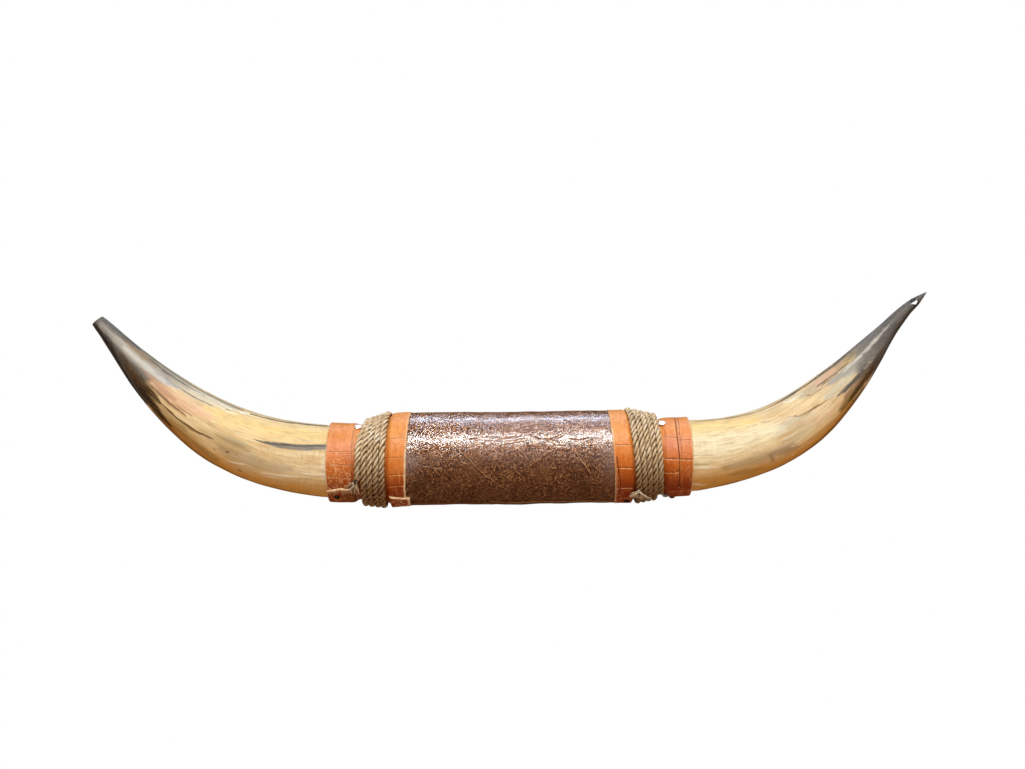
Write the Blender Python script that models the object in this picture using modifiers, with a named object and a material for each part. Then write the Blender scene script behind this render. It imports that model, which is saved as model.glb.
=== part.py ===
"""Leather-wrapped steer horn mount, in metres, +Z up.

Two horns sit on the plugs of a round wooden core. A brown leather sleeve wraps the middle of the
core, an orange leather cuff covers each joint with a horn, and a jute rope lashes each cuff. A
steel strap on the back hangs the mount on a wall. The origin is at the middle of that strap's wall
face. The viewer stands on the -Y side, and the wall is at Y = 0.

Most of the shapes are lofts round one spine. Its distances are measured along it from the middle
of the wrap. Round sections use angles in degrees: 0 faces the viewer, 90 is up, 180 is the wall.
"""

import bisect
import math

import bmesh
import bpy
from mathutils import Matrix, Vector

# Clearance between pieces that touch, and how near points must be to become one
GAP = 0.0003
MERGE = 0.00001

# Wrap, core and the planed flat on their backs
WRAP_RADIUS = 0.0546
WRAP_HALF = 0.1212
LEATHER = 0.0029
FLAT = 0.0475
FLAT_HALF = 0.092
FLAT_RUNOUT = 0.012
CORE_RADIUS = WRAP_RADIUS - LEATHER - GAP
CORE_END = 0.1697
PLUG_LENGTH = 0.065
PLUG_BASE_RADIUS = 0.027
PLUG_TIP_RADIUS = 0.019

# Hanger strap: its wall face stands this far behind the spine, and its middle this far above it
WALL_REACH = 0.0578
HANGER_RISE = 0.021
HANGER_LENGTH = 0.110
HANGER_HEIGHT = 0.012
HANGER_STEEL = 0.002
HANGER_FOOT = 0.017
HANGER_LEG = 0.009
HANGER_BEND = 0.0006
TOOTH_WIDTH = 0.005
TOOTH_DEPTH = 0.0022
TEETH = 7

# Pan-head screws through its feet
SCREW_HEAD = 0.0038
SCREW_HEAD_HEIGHT = 0.0018
SCREW_SHANK = 0.0016
SCREW_LENGTH = 0.020
SCREW_POINT = 0.003

# Cuffs, as distances along the spine. The rope presses each into a cone between two higher bands
BAND_START = 0.1215
BAND_END = 0.1385
BAND_SHOULDER = 0.1410
CONE_START = 0.1432
CONE_END = 0.1785
RIM_RISE_END = 0.1840
RIM_START = 0.1900
BAND_RADIUS = 0.0554
RIM_RADIUS = 0.0468
BAND_ROUNDING = 0.0007
RIM_ROUNDING = 0.0006
CUFF_LEATHER = 0.0026

# On its steep stretches the inside is moved along the spine, which keeps the leather's thickness
INSIDE_LEAD = 0.0024
INSIDE_LAG = 0.0005

# Laps: the lower edge of a leather lies over its upper edge, at the lower front
WRAP_LAP_EDGE = 293
WRAP_LAP_HEIGHT = 0.0018
LAP_BEVEL = 1.2

# Rope lashings. Each starts behind the top, where its first stretch lies higher and further in
ROPE_RADIUS = 0.0032
ROPE_CLEARANCE = 0.0006
ROPE_LEAD_IN = 120
ROPE_LEAD_LIFT = 0.0022
ROPE_LEAD_SHIFT = 0.0012

# The loose end of the left rope, as (distance past the coil, angle, lift off the cuff)
ROPE_TAIL = ((0.0045, -56, 0.0020), (0.0095, -63, 0.0042))

# Round sections
SIDES = 24
HORN_SIDES = 18
HORN_RINGS = 20
STEP = 360 / SIDES
SHARP_EDGE = 35

# The horns lean towards the viewer by this much at a full horn's length
FORWARD_YAW = 16.0
FORWARD_POWER = 1.3
HORN_START = 0.170
YAW_START = 0.220
YAW_LENGTH = 0.350

# Per side: which way it points, the spine's rise in degrees, the tilt of the leather's and rope's
# sections with their tops towards the middle, the horn's radius, the cuff's cone, end and lap, and
# the lashing's start along the spine, its pitch, and the angles at which it starts and ends
RIGHT = {
    "name": "right",
    "way": 1,
    "rise": (
        (0.0, 0.0), (0.110, 0.0), (0.145, -1.0), (0.172, -2.5), (0.195, 0.0), (0.220, 4.5), (0.270, 12.5),
        (0.320, 24.5), (0.365, 37.0), (0.410, 45.0), (0.455, 51.0), (0.500, 52.0), (0.525, 49.0),
        (0.550, 43.0), (0.570, 40.0),
    ),
    "tilt": ((0.0, 0.0), (0.070, 0.0), (0.1215, 3.4), (0.145, 3.4), (0.180, 1.5), (0.2125, 0.5)),
    "radius": (
        (0.170, 0.0408), (0.179, 0.0400), (0.195, 0.0412), (0.220, 0.0423), (0.265, 0.0395),
        (0.315, 0.0368), (0.362, 0.0335), (0.410, 0.0280), (0.456, 0.0205), (0.502, 0.0117),
        (0.525, 0.0088), (0.548, 0.0056), (0.560, 0.0030), (0.570, 0.0005),
    ),
    "cone": (0.0512, 0.0440),
    "cuff_end": 0.2125,
    "lap_edge": (303, 305),
    "lap_height": 0.0012,
    "lashing": (0.1451, 0.00678, 120, -1500),
    "tail": False,
}
LEFT = {
    "name": "left",
    "way": -1,
    "rise": (
        (0.0, 0.0), (0.110, 0.0), (0.140, -5.0), (0.175, -2.0), (0.222, 6.0), (0.270, 12.0),
        (0.320, 22.5), (0.365, 32.5), (0.410, 40.0), (0.460, 48.0), (0.506, 52.0), (0.552, 51.0),
    ),
    "tilt": ((0.0, 0.0), (0.070, 0.0), (0.1215, 2.9), (0.145, 1.0), (0.180, 1.0), (0.214, 1.0)),
    "radius": (
        (0.170, 0.0408), (0.179, 0.0400), (0.195, 0.0418), (0.222, 0.0432), (0.270, 0.0417),
        (0.318, 0.0394), (0.366, 0.0354), (0.413, 0.0297), (0.459, 0.0227), (0.506, 0.0145),
        (0.540, 0.0095), (0.5485, 0.0078),
    ),
    "cone": (0.0512, 0.0446),
    "cuff_end": 0.2140,
    "lap_edge": (303, 313),
    "lap_height": 0.0020,
    "lashing": (0.1462, 0.0072, 120, -1500),
    "tail": True,
}

# Tacks: side, distance along the spine, angle, head radius
TACKS = {
    "tack_left_top": (LEFT, 0.1855, 68, 0.0040),
    "tack_left_flap": (LEFT, 0.2030, -60, 0.0034),
    "tack_right_top": (RIGHT, 0.1850, 61, 0.0040),
    "tack_right_inner": (RIGHT, 0.1335, -66, 0.0034),
    "tack_right_bottom": (RIGHT, 0.1865, -74, 0.0040),
    "tack_right_under": (RIGHT, 0.1965, -90, 0.0034),
}
TACK_DOME = 0.0020
TACK_SHANK = 0.0010
TACK_LENGTH = 0.011
TACK_POINT = 0.0015

# Holes start this far above a surface, and end this far below the point of what they hold
HOLE_ABOVE = 0.004
HOLE_BELOW = 0.001

# The open chip in the right tip: its outline as (along the tip, across it), then its place
CHIP_OUTLINE = ((-0.0040, 0.0034), (0.0044, -0.0010), (0.0008, -0.0030), (-0.0014, -0.0022))
CHIP_PLACE = 0.5525
CHIP_CUT = 0.030


def clear_scene():
    for obj in list(bpy.data.objects):
        bpy.data.objects.remove(obj, do_unlink=True)


def collection(name):
    made = bpy.data.collections.new(name)
    bpy.context.scene.collection.children.link(made)
    return made


def material(name, colour, roughness, metallic=0.0):
    made = bpy.data.materials.new(name)
    made.use_nodes = True
    shader = made.node_tree.nodes["Principled BSDF"]
    shader.inputs["Base Color"].default_value = (*colour, 1.0)
    shader.inputs["Roughness"].default_value = roughness
    shader.inputs["Metallic"].default_value = metallic
    return made


def smooth(stations, x):
    """The value at x of a smooth curve through the (x, value) stations."""
    xs = [station[0] for station in stations]
    values = [station[1] for station in stations]
    if x <= xs[0]:
        return values[0]
    if x >= xs[-1]:
        return values[-1]

    def slope(i):
        before = max(i - 1, 0)
        after = min(i + 1, len(xs) - 1)
        return (values[after] - values[before]) / (xs[after] - xs[before])

    i = bisect.bisect_right(xs, x) - 1
    width = xs[i + 1] - xs[i]
    t = (x - xs[i]) / width
    start = (1 + 2 * t) * (1 - t) ** 2
    start_slope = t * (1 - t) ** 2
    end_slope = t * t * (t - 1)
    return (
        start * values[i]
        + (1 - start) * values[i + 1]
        + width * (start_slope * slope(i) + end_slope * slope(i + 1))
    )


def straight(stations, x):
    """The value at x of a straight-edged line through the (x, value) stations."""
    i = bisect.bisect_right([station[0] for station in stations], x)
    i = min(max(i, 1), len(stations) - 1)
    (x0, value0), (x1, value1) = stations[i - 1], stations[i]
    return value0 + (value1 - value0) * (x - x0) / (x1 - x0)


class Spine:
    """The centre line of one half, from the middle of the wrap to the horn's tip."""

    PACE = 0.001

    def __init__(self, side):
        self.side = side
        self.way = side["way"]
        self.points = [Vector((0.0, -WALL_REACH, -HANGER_RISE))]
        length = side["rise"][-1][0]
        for i in range(math.ceil(length / self.PACE) + 1):
            middle = (i + 0.5) * self.PACE
            self.points.append(self.points[-1] + self.PACE * self.heading(middle))

    def rise(self, s):
        return math.radians(smooth(self.side["rise"], s))

    def yaw(self, s):
        reach = max(s - YAW_START, 0.0) / YAW_LENGTH
        return math.radians(FORWARD_YAW) * reach**FORWARD_POWER

    def heading(self, s):
        rise = self.rise(s)
        yaw = self.yaw(s)
        return Vector(
            (self.way * math.cos(yaw) * math.cos(rise), -math.sin(yaw), math.cos(yaw) * math.sin(rise))
        )

    def point(self, s):
        i = min(int(s / self.PACE), len(self.points) - 2)
        return self.points[i].lerp(self.points[i + 1], s / self.PACE - i)

    def axes(self, s, tilt=None):
        """The front and up directions of the section at s."""
        if tilt is None:
            tilt = math.radians(smooth(self.side["tilt"], s))
            front = Vector((0, -1, 0))
        else:
            yaw = self.yaw(s)
            front = Vector((-self.way * math.sin(yaw) * math.cos(tilt), -math.cos(yaw), 0))
        up = Vector((-self.way * math.sin(tilt), 0, math.cos(tilt)))
        front = (front - up * front.dot(up)).normalized()
        return front, up

    def horn_tilt(self, s):
        """The horn's sections turn from the cuff's tilt at its base to the spine's own rise."""
        share = min(max((s - HORN_START) / (YAW_START - HORN_START), 0.0), 1.0)
        share = share * share * (3 - 2 * share)
        base = math.radians(smooth(self.side["tilt"], HORN_START))
        return base + share * (self.rise(s) - base)

    def on_section(self, s, angle, radius):
        front, up = self.axes(s)
        turn = math.radians(angle)
        return self.point(s) + radius * (math.cos(turn) * front + math.sin(turn) * up)


def lap_share(angle, edge):
    """How much of a lap's height stands at this angle: it fades out on the hidden side."""
    fade_start = 270
    fade_end = 240
    if angle > edge or angle <= fade_end:
        return 0.0
    return min((angle - fade_end) / (fade_start - fade_end), 1.0)


def ring(spine, s, radius, lap_edge=None, lap_height=0.0, flat=None):
    """One section of a leather or of the core, with its lap's step and its planed flat.

    At the lap's edge two points nearly meet: one still on the lap, and one already off it.
    """
    angles = [(k * STEP, k * STEP) for k in range(SIDES)]
    if lap_edge is not None:
        angles += [(lap_edge - LAP_BEVEL, lap_edge - LAP_BEVEL), (lap_edge, lap_edge + 1)]
        angles.sort()
    front, up = spine.axes(s)
    centre = spine.point(s)
    points = []
    for angle, seen_as in angles:
        off_middle = math.radians(angle % STEP - STEP / 2)
        reach = radius * math.cos(math.radians(STEP / 2)) / math.cos(off_middle)
        if lap_edge is not None:
            reach += lap_height * lap_share(seen_as, lap_edge)
        turn = math.radians(angle)
        back = -reach * math.cos(turn)
        if flat is not None:
            back = min(back, flat)
        points.append(centre - back * front + reach * math.sin(turn) * up)
    return points


def horn_ring(spine, s, radius):
    front, up = spine.axes(s, spine.horn_tilt(s))
    centre = spine.point(s)
    turns = [math.tau * k / HORN_SIDES for k in range(HORN_SIDES)]
    return [centre + radius * (math.cos(t) * front + math.sin(t) * up) for t in turns]


def mesh_object(name, mesh, look, where):
    obj = bpy.data.objects.new(name, mesh)
    mesh.materials.append(look)
    where.objects.link(obj)
    return obj


def skin(shape, rings, closed=False):
    """Adds a band of faces between each ring and the next, and returns the rows of points."""
    rows = [[shape.verts.new(point) for point in points] for points in rings]
    pairs = list(zip(rows, rows[1:]))
    if closed:
        pairs.append((rows[-1], rows[0]))
    for row, following in pairs:
        for k in range(len(row)):
            after = (k + 1) % len(row)
            shape.faces.new((row[k], row[after], following[after], following[k]))
    return rows


def finished(shape, name, look, where):
    """The object of a shape, with each bent face split along its shorter diagonal."""
    bmesh.ops.recalc_face_normals(shape, faces=shape.faces)
    quads = [face for face in shape.faces if len(face.verts) == 4]
    bmesh.ops.triangulate(shape, faces=quads, quad_method="SHORT_EDGE")
    mesh = bpy.data.meshes.new(name)
    shape.to_mesh(mesh)
    shape.free()
    mesh.shade_smooth()
    mesh.set_sharp_from_angle(angle=math.radians(SHARP_EDGE))
    return mesh_object(name, mesh, look, where)


def loft(name, rings, look, where, closed=False):
    """A solid over the rings. A closed one joins its last ring to its first; the others are capped."""
    shape = bmesh.new()
    rows = skin(shape, rings, closed)
    if not closed:
        shape.faces.new(rows[0])
        shape.faces.new(rows[-1])
    return finished(shape, name, look, where)


def cuff_outside(side):
    """The cuff's outer radius, as (distance, radius) points joined by straight lines."""
    cone_start_radius, cone_end_radius = side["cone"]
    return (
        (BAND_START, BAND_RADIUS),
        (BAND_END, BAND_RADIUS),
        (BAND_SHOULDER, BAND_RADIUS - BAND_ROUNDING),
        (CONE_START, cone_start_radius),
        (CONE_END, cone_end_radius),
        (RIM_RISE_END, RIM_RADIUS - RIM_ROUNDING),
        (RIM_START, RIM_RADIUS),
        (side["cuff_end"], RIM_RADIUS),
    )


def cuff_inside(side):
    """The cuff's inner radius, in the same form."""
    cone_start_radius, cone_end_radius = side["cone"]
    return (
        (BAND_START, BAND_RADIUS - CUFF_LEATHER),
        (BAND_END, BAND_RADIUS - CUFF_LEATHER),
        (CONE_START - INSIDE_LEAD, cone_start_radius - CUFF_LEATHER),
        (CONE_END, cone_end_radius - CUFF_LEATHER),
        (RIM_RISE_END + INSIDE_LAG, RIM_RADIUS - RIM_ROUNDING - CUFF_LEATHER),
        (RIM_START, RIM_RADIUS - CUFF_LEATHER),
        (side["cuff_end"], RIM_RADIUS - CUFF_LEATHER),
    )


def core_half(side):
    """The core's (distance, radius, flat) on one side of the middle."""
    under_cuff = cuff_inside(side)
    cone_start, cone_start_radius = under_cuff[2]
    return (
        (FLAT_HALF, CORE_RADIUS, FLAT - LEATHER - GAP),
        (FLAT_HALF + FLAT_RUNOUT, CORE_RADIUS, None),
        (WRAP_HALF, CORE_RADIUS, None),
        (BAND_END - GAP, CORE_RADIUS, None),
        (cone_start - 2 * GAP, cone_start_radius - 2 * GAP, None),
        (CORE_END, straight(under_cuff, CORE_END) - 2 * GAP, None),
        (CORE_END, PLUG_BASE_RADIUS, None),
        (CORE_END + PLUG_LENGTH, PLUG_TIP_RADIUS, None),
    )


def make_core(spines, look, parts):
    """The spindle: a plug, a cone, the wrapped middle with its flat, and the same again."""
    rings = [ring(spines["left"], s, radius, flat=flat) for s, radius, flat in core_half(LEFT)[::-1]]
    rings += [ring(spines["right"], s, radius, flat=flat) for s, radius, flat in core_half(RIGHT)]
    return loft("core", rings, look, parts)


def make_wrap(spines, look, parts):
    """The brown sleeve, lapped low at the front and flat where the hanger sits."""
    half = [
        (FLAT_HALF, FLAT),
        (FLAT_HALF + FLAT_RUNOUT, None),
        (WRAP_HALF, None),
    ]
    outer = []
    inner = []
    places = [("left", s, flat) for s, flat in reversed(half)]
    places += [("right", s, flat) for s, flat in half]
    for name, s, flat in places:
        outer.append(ring(spines[name], s, WRAP_RADIUS, WRAP_LAP_EDGE, WRAP_LAP_HEIGHT, flat))
        under = None if flat is None else flat - LEATHER
        inner.append(ring(spines[name], s, WRAP_RADIUS - LEATHER, WRAP_LAP_EDGE, 0.0, under))
    return loft("wrap", outer + inner[::-1], look, parts, closed=True)


def make_cuff(spine, look, parts):
    """A one-piece cuff that runs under its rope, where its lap is pressed flat."""
    side = spine.side
    inner_edge, outer_edge = side["lap_edge"]

    def edge_at(s):
        return inner_edge + (outer_edge - inner_edge) * (s - BAND_START) / (side["cuff_end"] - BAND_START)

    def lap_at(s):
        pressed = BAND_SHOULDER <= s <= RIM_RISE_END
        return 0.0 if pressed else side["lap_height"]

    outer = [ring(spine, s, radius, edge_at(s), lap_at(s)) for s, radius in cuff_outside(side)]
    inner = [ring(spine, s, radius, edge_at(s)) for s, radius in cuff_inside(side)]
    return loft("cuff_" + side["name"], outer + inner[::-1], look, parts, closed=True)


def make_horn(spine, look, parts):
    """The hollow of the base first, then the outside from the base to the tip."""
    side = spine.side
    hollow = [
        ring(spine, CORE_END + PLUG_LENGTH + GAP, PLUG_TIP_RADIUS + GAP),
        ring(spine, HORN_START, PLUG_BASE_RADIUS + GAP),
    ]
    base, waist, grown = (station[0] for station in side["radius"][:3])
    tip = side["radius"][-1][0]
    places = [base, waist]
    places += [grown + (tip - grown) * i / HORN_RINGS for i in range(HORN_RINGS + 1)]
    outside = [horn_ring(spine, s, smooth(side["radius"], s)) for s in places]
    name = "horn_" + side["name"]
    return loft_with_hollow(name, hollow, outside, look, parts)


def loft_with_hollow(name, hollow, outside, look, where):
    """A solid whose base is a flat ring between a hollow's mouth and the outside's first ring."""
    shape = bmesh.new()
    hollow_rows = skin(shape, hollow)
    outside_rows = skin(shape, outside)
    shape.faces.new(hollow_rows[0])
    shape.faces.new(outside_rows[-1])
    rims = [edge for edge in shape.edges if edge.is_boundary]
    bmesh.ops.bridge_loops(shape, edges=rims)
    return finished(shape, name, look, where)


def tube(name, points, radius, look, where):
    curve = bpy.data.curves.new(name, "CURVE")
    curve.dimensions = "3D"
    curve.bevel_depth = radius
    curve.bevel_resolution = 2
    curve.use_fill_caps = True
    spline = curve.splines.new("POLY")
    spline.points.add(len(points) - 1)
    for target, point in zip(spline.points, points):
        target.co = (*point, 1.0)
    curve.materials.append(look)
    obj = bpy.data.objects.new(name, curve)
    where.objects.link(obj)
    return obj


def make_rope(spine, look, parts):
    """The lashing, wound down the front and outwards. The left one's end is led off the coil."""
    side = spine.side
    cone = cuff_outside(side)[3:5]
    start, pitch, first_angle, last_angle = side["lashing"]
    rise = ROPE_RADIUS + ROPE_CLEARANCE
    steps = round((first_angle - last_angle) / STEP)
    points = []
    for i in range(steps + 1):
        wound = i * STEP
        lead = max(1 - wound / ROPE_LEAD_IN, 0.0)
        s = start + pitch * wound / 360
        radius = straight(cone, s) + rise + ROPE_LEAD_LIFT * lead**2
        points.append(spine.on_section(s - ROPE_LEAD_SHIFT * lead, first_angle - wound, radius))
    if side["tail"]:
        for drift, angle, lift in ROPE_TAIL:
            radius = straight(cone, s) + rise + lift
            points.append(spine.on_section(s + drift, angle, radius))
    return tube("rope_" + side["name"], points, ROPE_RADIUS, look, parts)


def turned(name, profile, steps, look, where):
    """A solid turned about its own Z axis from a profile of (radius, height) points, top first."""
    mesh = bpy.data.meshes.new(name)
    points = [(radius, 0.0, height) for radius, height in profile]
    edges = [(i, i + 1) for i in range(len(points) - 1)]
    mesh.from_pydata(points, edges, [])
    obj = mesh_object(name, mesh, look, where)
    screw = obj.modifiers.new("turn", "SCREW")
    screw.steps = steps
    screw.render_steps = steps
    screw.use_merge_vertices = True
    screw.merge_threshold = MERGE
    screw.use_smooth_shade = True
    return obj


def stand_on(obj, base, outward):
    """Places a turned solid with its own Z axis along the outward direction."""
    obj.rotation_mode = "QUATERNION"
    obj.rotation_quaternion = outward.to_track_quat("Z", "Y")
    obj.location = base


def drill(target, name, base, outward, radius, reach, cutters):
    """Cuts a round hole into the target for what reaches this far below the base."""
    depth = reach + HOLE_BELOW
    shape = bmesh.new()
    bmesh.ops.create_cone(
        shape,
        cap_ends=True,
        segments=8,
        radius1=radius,
        radius2=radius,
        depth=HOLE_ABOVE + depth,
        matrix=Matrix.Translation((0, 0, (HOLE_ABOVE - depth) / 2)),
    )
    mesh = bpy.data.meshes.new(name)
    shape.to_mesh(mesh)
    shape.free()
    cutter = bpy.data.objects.new(name, mesh)
    cutters.objects.link(cutter)
    stand_on(cutter, base, outward)
    hide(cutter)
    cut_with(target, cutter)


def hide(cutter):
    cutter.hide_render = True
    cutter.display_type = "WIRE"


def cut_with(target, cutter):
    cut = target.modifiers.new(cutter.name, "BOOLEAN")
    cut.operation = "DIFFERENCE"
    cut.object = cutter


def make_tack(name, spines, bodies, look, parts, cutters):
    """A domed tack through its cuff and into what the cuff covers."""
    side, s, angle, head = TACKS[name]
    spine = spines[side["name"]]
    outside = cuff_outside(side)
    surface = max(straight(outside, s), straight(outside, s + head))
    if 360 + angle < side["lap_edge"][0]:
        surface += side["lap_height"] + GAP
    outward = (spine.on_section(s, angle, 1.0) - spine.point(s)).normalized()
    base = spine.on_section(s, angle, surface + GAP)
    arc = [(head * math.sin(t), TACK_DOME * math.cos(t)) for t in (math.pi * k / 8 for k in range(5))]
    profile = arc + [(TACK_SHANK, 0.0), (TACK_SHANK, -TACK_LENGTH), (0.0, -TACK_LENGTH - TACK_POINT)]
    tack = turned(name, profile, 8, look, parts)
    stand_on(tack, base, outward)
    for body in bodies:
        hole = name + "_hole_" + body.name
        drill(body, hole, base, outward, TACK_SHANK + GAP, TACK_LENGTH + TACK_POINT, cutters)


def make_hanger(look, parts, cutters):
    """A bridge-shaped steel strap with a row of teeth along the lower edge of its middle."""
    rise = WALL_REACH - FLAT - GAP
    half = HANGER_LENGTH / 2
    foot = half - HANGER_FOOT
    middle = foot - HANGER_LEG
    foot_top = -(rise - HANGER_STEEL)
    wall_side = middle + HANGER_BEND
    foot_side = foot + HANGER_BEND
    outline = [
        (-half, -rise), (-foot, -rise), (-middle, -HANGER_STEEL), (middle, -HANGER_STEEL),
        (foot, -rise), (half, -rise), (half, foot_top), (foot_side, foot_top),
        (wall_side, 0.0), (-wall_side, 0.0), (-foot_side, foot_top), (-half, foot_top),
    ]
    strap = plate("hanger", outline, HANGER_HEIGHT, parts, look)
    notch_half = TOOTH_WIDTH / 2 - GAP
    below_edge = -TOOTH_DEPTH / 2
    outline = [(-notch_half, below_edge), (notch_half, below_edge), (0.0, TOOTH_DEPTH)]
    for k in range(TEETH):
        notch = plate("hanger_notch_%d" % k, outline, 4 * HANGER_STEEL, cutters)
        notch.rotation_euler = (math.radians(90), 0, 0)
        notch.location = ((k - TEETH // 2) * TOOTH_WIDTH, 0, -HANGER_HEIGHT / 2)
        hide(notch)
        cut_with(strap, notch)
    return strap, half - HANGER_FOOT / 2, foot_top


def plate(name, outline, thickness, where, look=None):
    """A flat outline in its own XY plane, made into a solid of this thickness about that plane."""
    curve = bpy.data.curves.new(name, "CURVE")
    curve.dimensions = "2D"
    curve.fill_mode = "BOTH"
    curve.extrude = thickness / 2
    spline = curve.splines.new("POLY")
    spline.points.add(len(outline) - 1)
    for target, point in zip(spline.points, outline):
        target.co = (*point, 0.0, 1.0)
    spline.use_cyclic_u = True
    drawn = bpy.data.objects.new(name + "_outline", curve)
    where.objects.link(drawn)
    graph = bpy.context.evaluated_depsgraph_get()
    mesh = bpy.data.meshes.new_from_object(drawn.evaluated_get(graph))
    mesh.name = name
    bpy.data.objects.remove(drawn, do_unlink=True)
    shape = bmesh.new()
    shape.from_mesh(mesh)
    bmesh.ops.remove_doubles(shape, verts=shape.verts, dist=MERGE)
    bmesh.ops.recalc_face_normals(shape, faces=shape.faces)
    shape.to_mesh(mesh)
    shape.free()
    obj = bpy.data.objects.new(name, mesh)
    if look is not None:
        mesh.materials.append(look)
    where.objects.link(obj)
    return obj


def make_hanger_screw(name, x, foot_top, bodies, look, parts, cutters):
    """A pan-head screw through the strap's foot and the wrap, into the core."""
    base = Vector((x, foot_top + GAP, 0.0))
    outward = Vector((0, 1, 0))
    profile = [
        (0.0, SCREW_HEAD_HEIGHT),
        (SCREW_HEAD * 0.6, SCREW_HEAD_HEIGHT * 0.9),
        (SCREW_HEAD, SCREW_HEAD_HEIGHT * 0.3),
        (SCREW_HEAD, 0.0),
        (SCREW_SHANK, 0.0),
        (SCREW_SHANK, -SCREW_LENGTH),
        (0.0, -SCREW_LENGTH - SCREW_POINT),
    ]
    screw = turned(name, profile, 12, look, parts)
    stand_on(screw, base, outward)
    for body in bodies:
        hole = name + "_hole_" + body.name
        drill(body, hole, base, outward, SCREW_SHANK + GAP, SCREW_LENGTH + SCREW_POINT, cutters)


def chip_tip(horn, spine, cutters):
    """Opens the split near the right horn's tip, right through from front to back."""
    cutter = plate("tip_chip", CHIP_OUTLINE, CHIP_CUT, cutters)
    rise = spine.rise(CHIP_PLACE)
    cutter.rotation_euler = (math.radians(90), -rise, 0)
    cutter.location = spine.point(CHIP_PLACE)
    hide(cutter)
    cut_with(horn, cutter)


def main():
    clear_scene()
    parts = collection("steer_horn_mount")
    cutters = collection("cutters")
    wood = material("wood", (0.45, 0.30, 0.17), 0.70)
    horn = material("horn", (0.66, 0.50, 0.27), 0.30)
    brown_leather = material("brown_leather", (0.09, 0.035, 0.02), 0.35)
    orange_leather = material("orange_leather", (0.55, 0.16, 0.04), 0.45)
    jute = material("jute", (0.33, 0.25, 0.15), 0.90)
    bright_tack = material("bright_tack", (0.72, 0.68, 0.62), 0.25, 1.0)
    dark_tack = material("dark_tack", (0.10, 0.08, 0.07), 0.45, 1.0)
    steel = material("steel", (0.58, 0.58, 0.57), 0.35, 1.0)
    spines = {"left": Spine(LEFT), "right": Spine(RIGHT)}

    core = make_core(spines, wood, parts)
    wrap = make_wrap(spines, brown_leather, parts)
    cuffs = {name: make_cuff(spine, orange_leather, parts) for name, spine in spines.items()}
    horns = {name: make_horn(spine, horn, parts) for name, spine in spines.items()}
    for spine in spines.values():
        make_rope(spine, jute, parts)
    chip_tip(horns["right"], spines["right"], cutters)

    for name in TACKS:
        side = TACKS[name][0]["name"]
        bright = name.endswith("_top") or name.endswith("_bottom")
        under = core if TACKS[name][1] < HORN_START else horns[side]
        look = bright_tack if bright else dark_tack
        make_tack(name, spines, (cuffs[side], under), look, parts, cutters)

    hanger, foot_middle, foot_top = make_hanger(steel, parts, cutters)
    for side, x in (("left", -foot_middle), ("right", foot_middle)):
        name = "hanger_screw_" + side
        make_hanger_screw(name, x, foot_top, (hanger, wrap, core), steel, parts, cutters)


main()
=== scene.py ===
"""The looks of the leather-wrapped steer horn mount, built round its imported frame, in metres.

Two horns meet in a wooden core under a brown leather wrap. Orange leather cuffs cover the joints,
and a jute rope lashes each cuff. The viewer stands on the -Y side and the wall is at Y = 0.

Every piece is laid round one spine per side. A place is a distance s along it from the middle of
the wrap and an angle in degrees: 0 faces the viewer, 90 is up, 180 is the wall, -90 is down.
"""

import math

import bpy
import numpy as np
from mathutils import Matrix, Vector

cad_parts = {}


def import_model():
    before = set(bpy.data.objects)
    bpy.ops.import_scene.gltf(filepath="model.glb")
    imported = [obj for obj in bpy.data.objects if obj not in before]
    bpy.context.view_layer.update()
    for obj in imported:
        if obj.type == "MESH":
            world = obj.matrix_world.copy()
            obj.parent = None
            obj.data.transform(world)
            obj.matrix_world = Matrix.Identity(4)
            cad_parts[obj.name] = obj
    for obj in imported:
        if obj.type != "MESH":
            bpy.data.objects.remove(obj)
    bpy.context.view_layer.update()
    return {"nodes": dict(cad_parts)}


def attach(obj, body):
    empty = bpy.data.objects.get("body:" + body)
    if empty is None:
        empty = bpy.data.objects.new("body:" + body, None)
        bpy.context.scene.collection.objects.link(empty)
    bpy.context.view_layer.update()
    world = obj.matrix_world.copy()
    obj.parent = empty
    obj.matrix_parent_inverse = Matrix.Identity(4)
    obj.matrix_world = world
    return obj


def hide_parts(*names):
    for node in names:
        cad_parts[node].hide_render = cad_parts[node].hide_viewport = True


MM = 0.001

# What a visual piece is called before the name of the node that it replaces
PREFIX = "seen_"

# The spine's start, and how far the horns lean towards the viewer at a full horn's length
WALL_REACH = 0.0578
HANGER_RISE = 0.021
FORWARD_YAW = 16.0
FORWARD_POWER = 1.3
HORN_START = 0.170
YAW_START = 0.220
YAW_LENGTH = 0.350

# Leather sleeve and the planed flat on its back
WRAP_RADIUS = 0.0546
WRAP_HALF = 0.1212
LEATHER = 0.0029
FLAT = 0.0475
FLAT_HALF = 0.092
FLAT_RUNOUT = 0.012
WRAP_LAP_EDGE = -67.0
WRAP_LAP_HEIGHT = 0.0014

# Cuffs, as distances along the spine
BAND_START = 0.1212
BAND_END = 0.1385
CONE_START = 0.1432
CONE_END = 0.1785
RIM_START = 0.1880
BAND_RADIUS = 0.0554
RIM_RADIUS = 0.0468
CUFF_LEATHER = 0.0024
RIM_FROM = 0.18
LAP_MIDDLE = 0.165

# Core's plug, which the horn's socket holds
PLUG_END = 0.2350
SOCKET_MOUTH = 0.0275
SOCKET_END = 0.0195

# Rope: its three strands, the length in which one turns once round, how high its middle lies on
# the cuff, and over how many degrees, how high and how far along its start stands off
STRAND_OFFSET = 0.00176
STRAND_RADIUS = 0.00164
ROPE_LAY = 0.0235
ROPE_RISE = 0.0036
LEAD_IN = 120
LEAD_LIFT = 0.0005
LEAD_SHIFT = 0.0006

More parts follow.
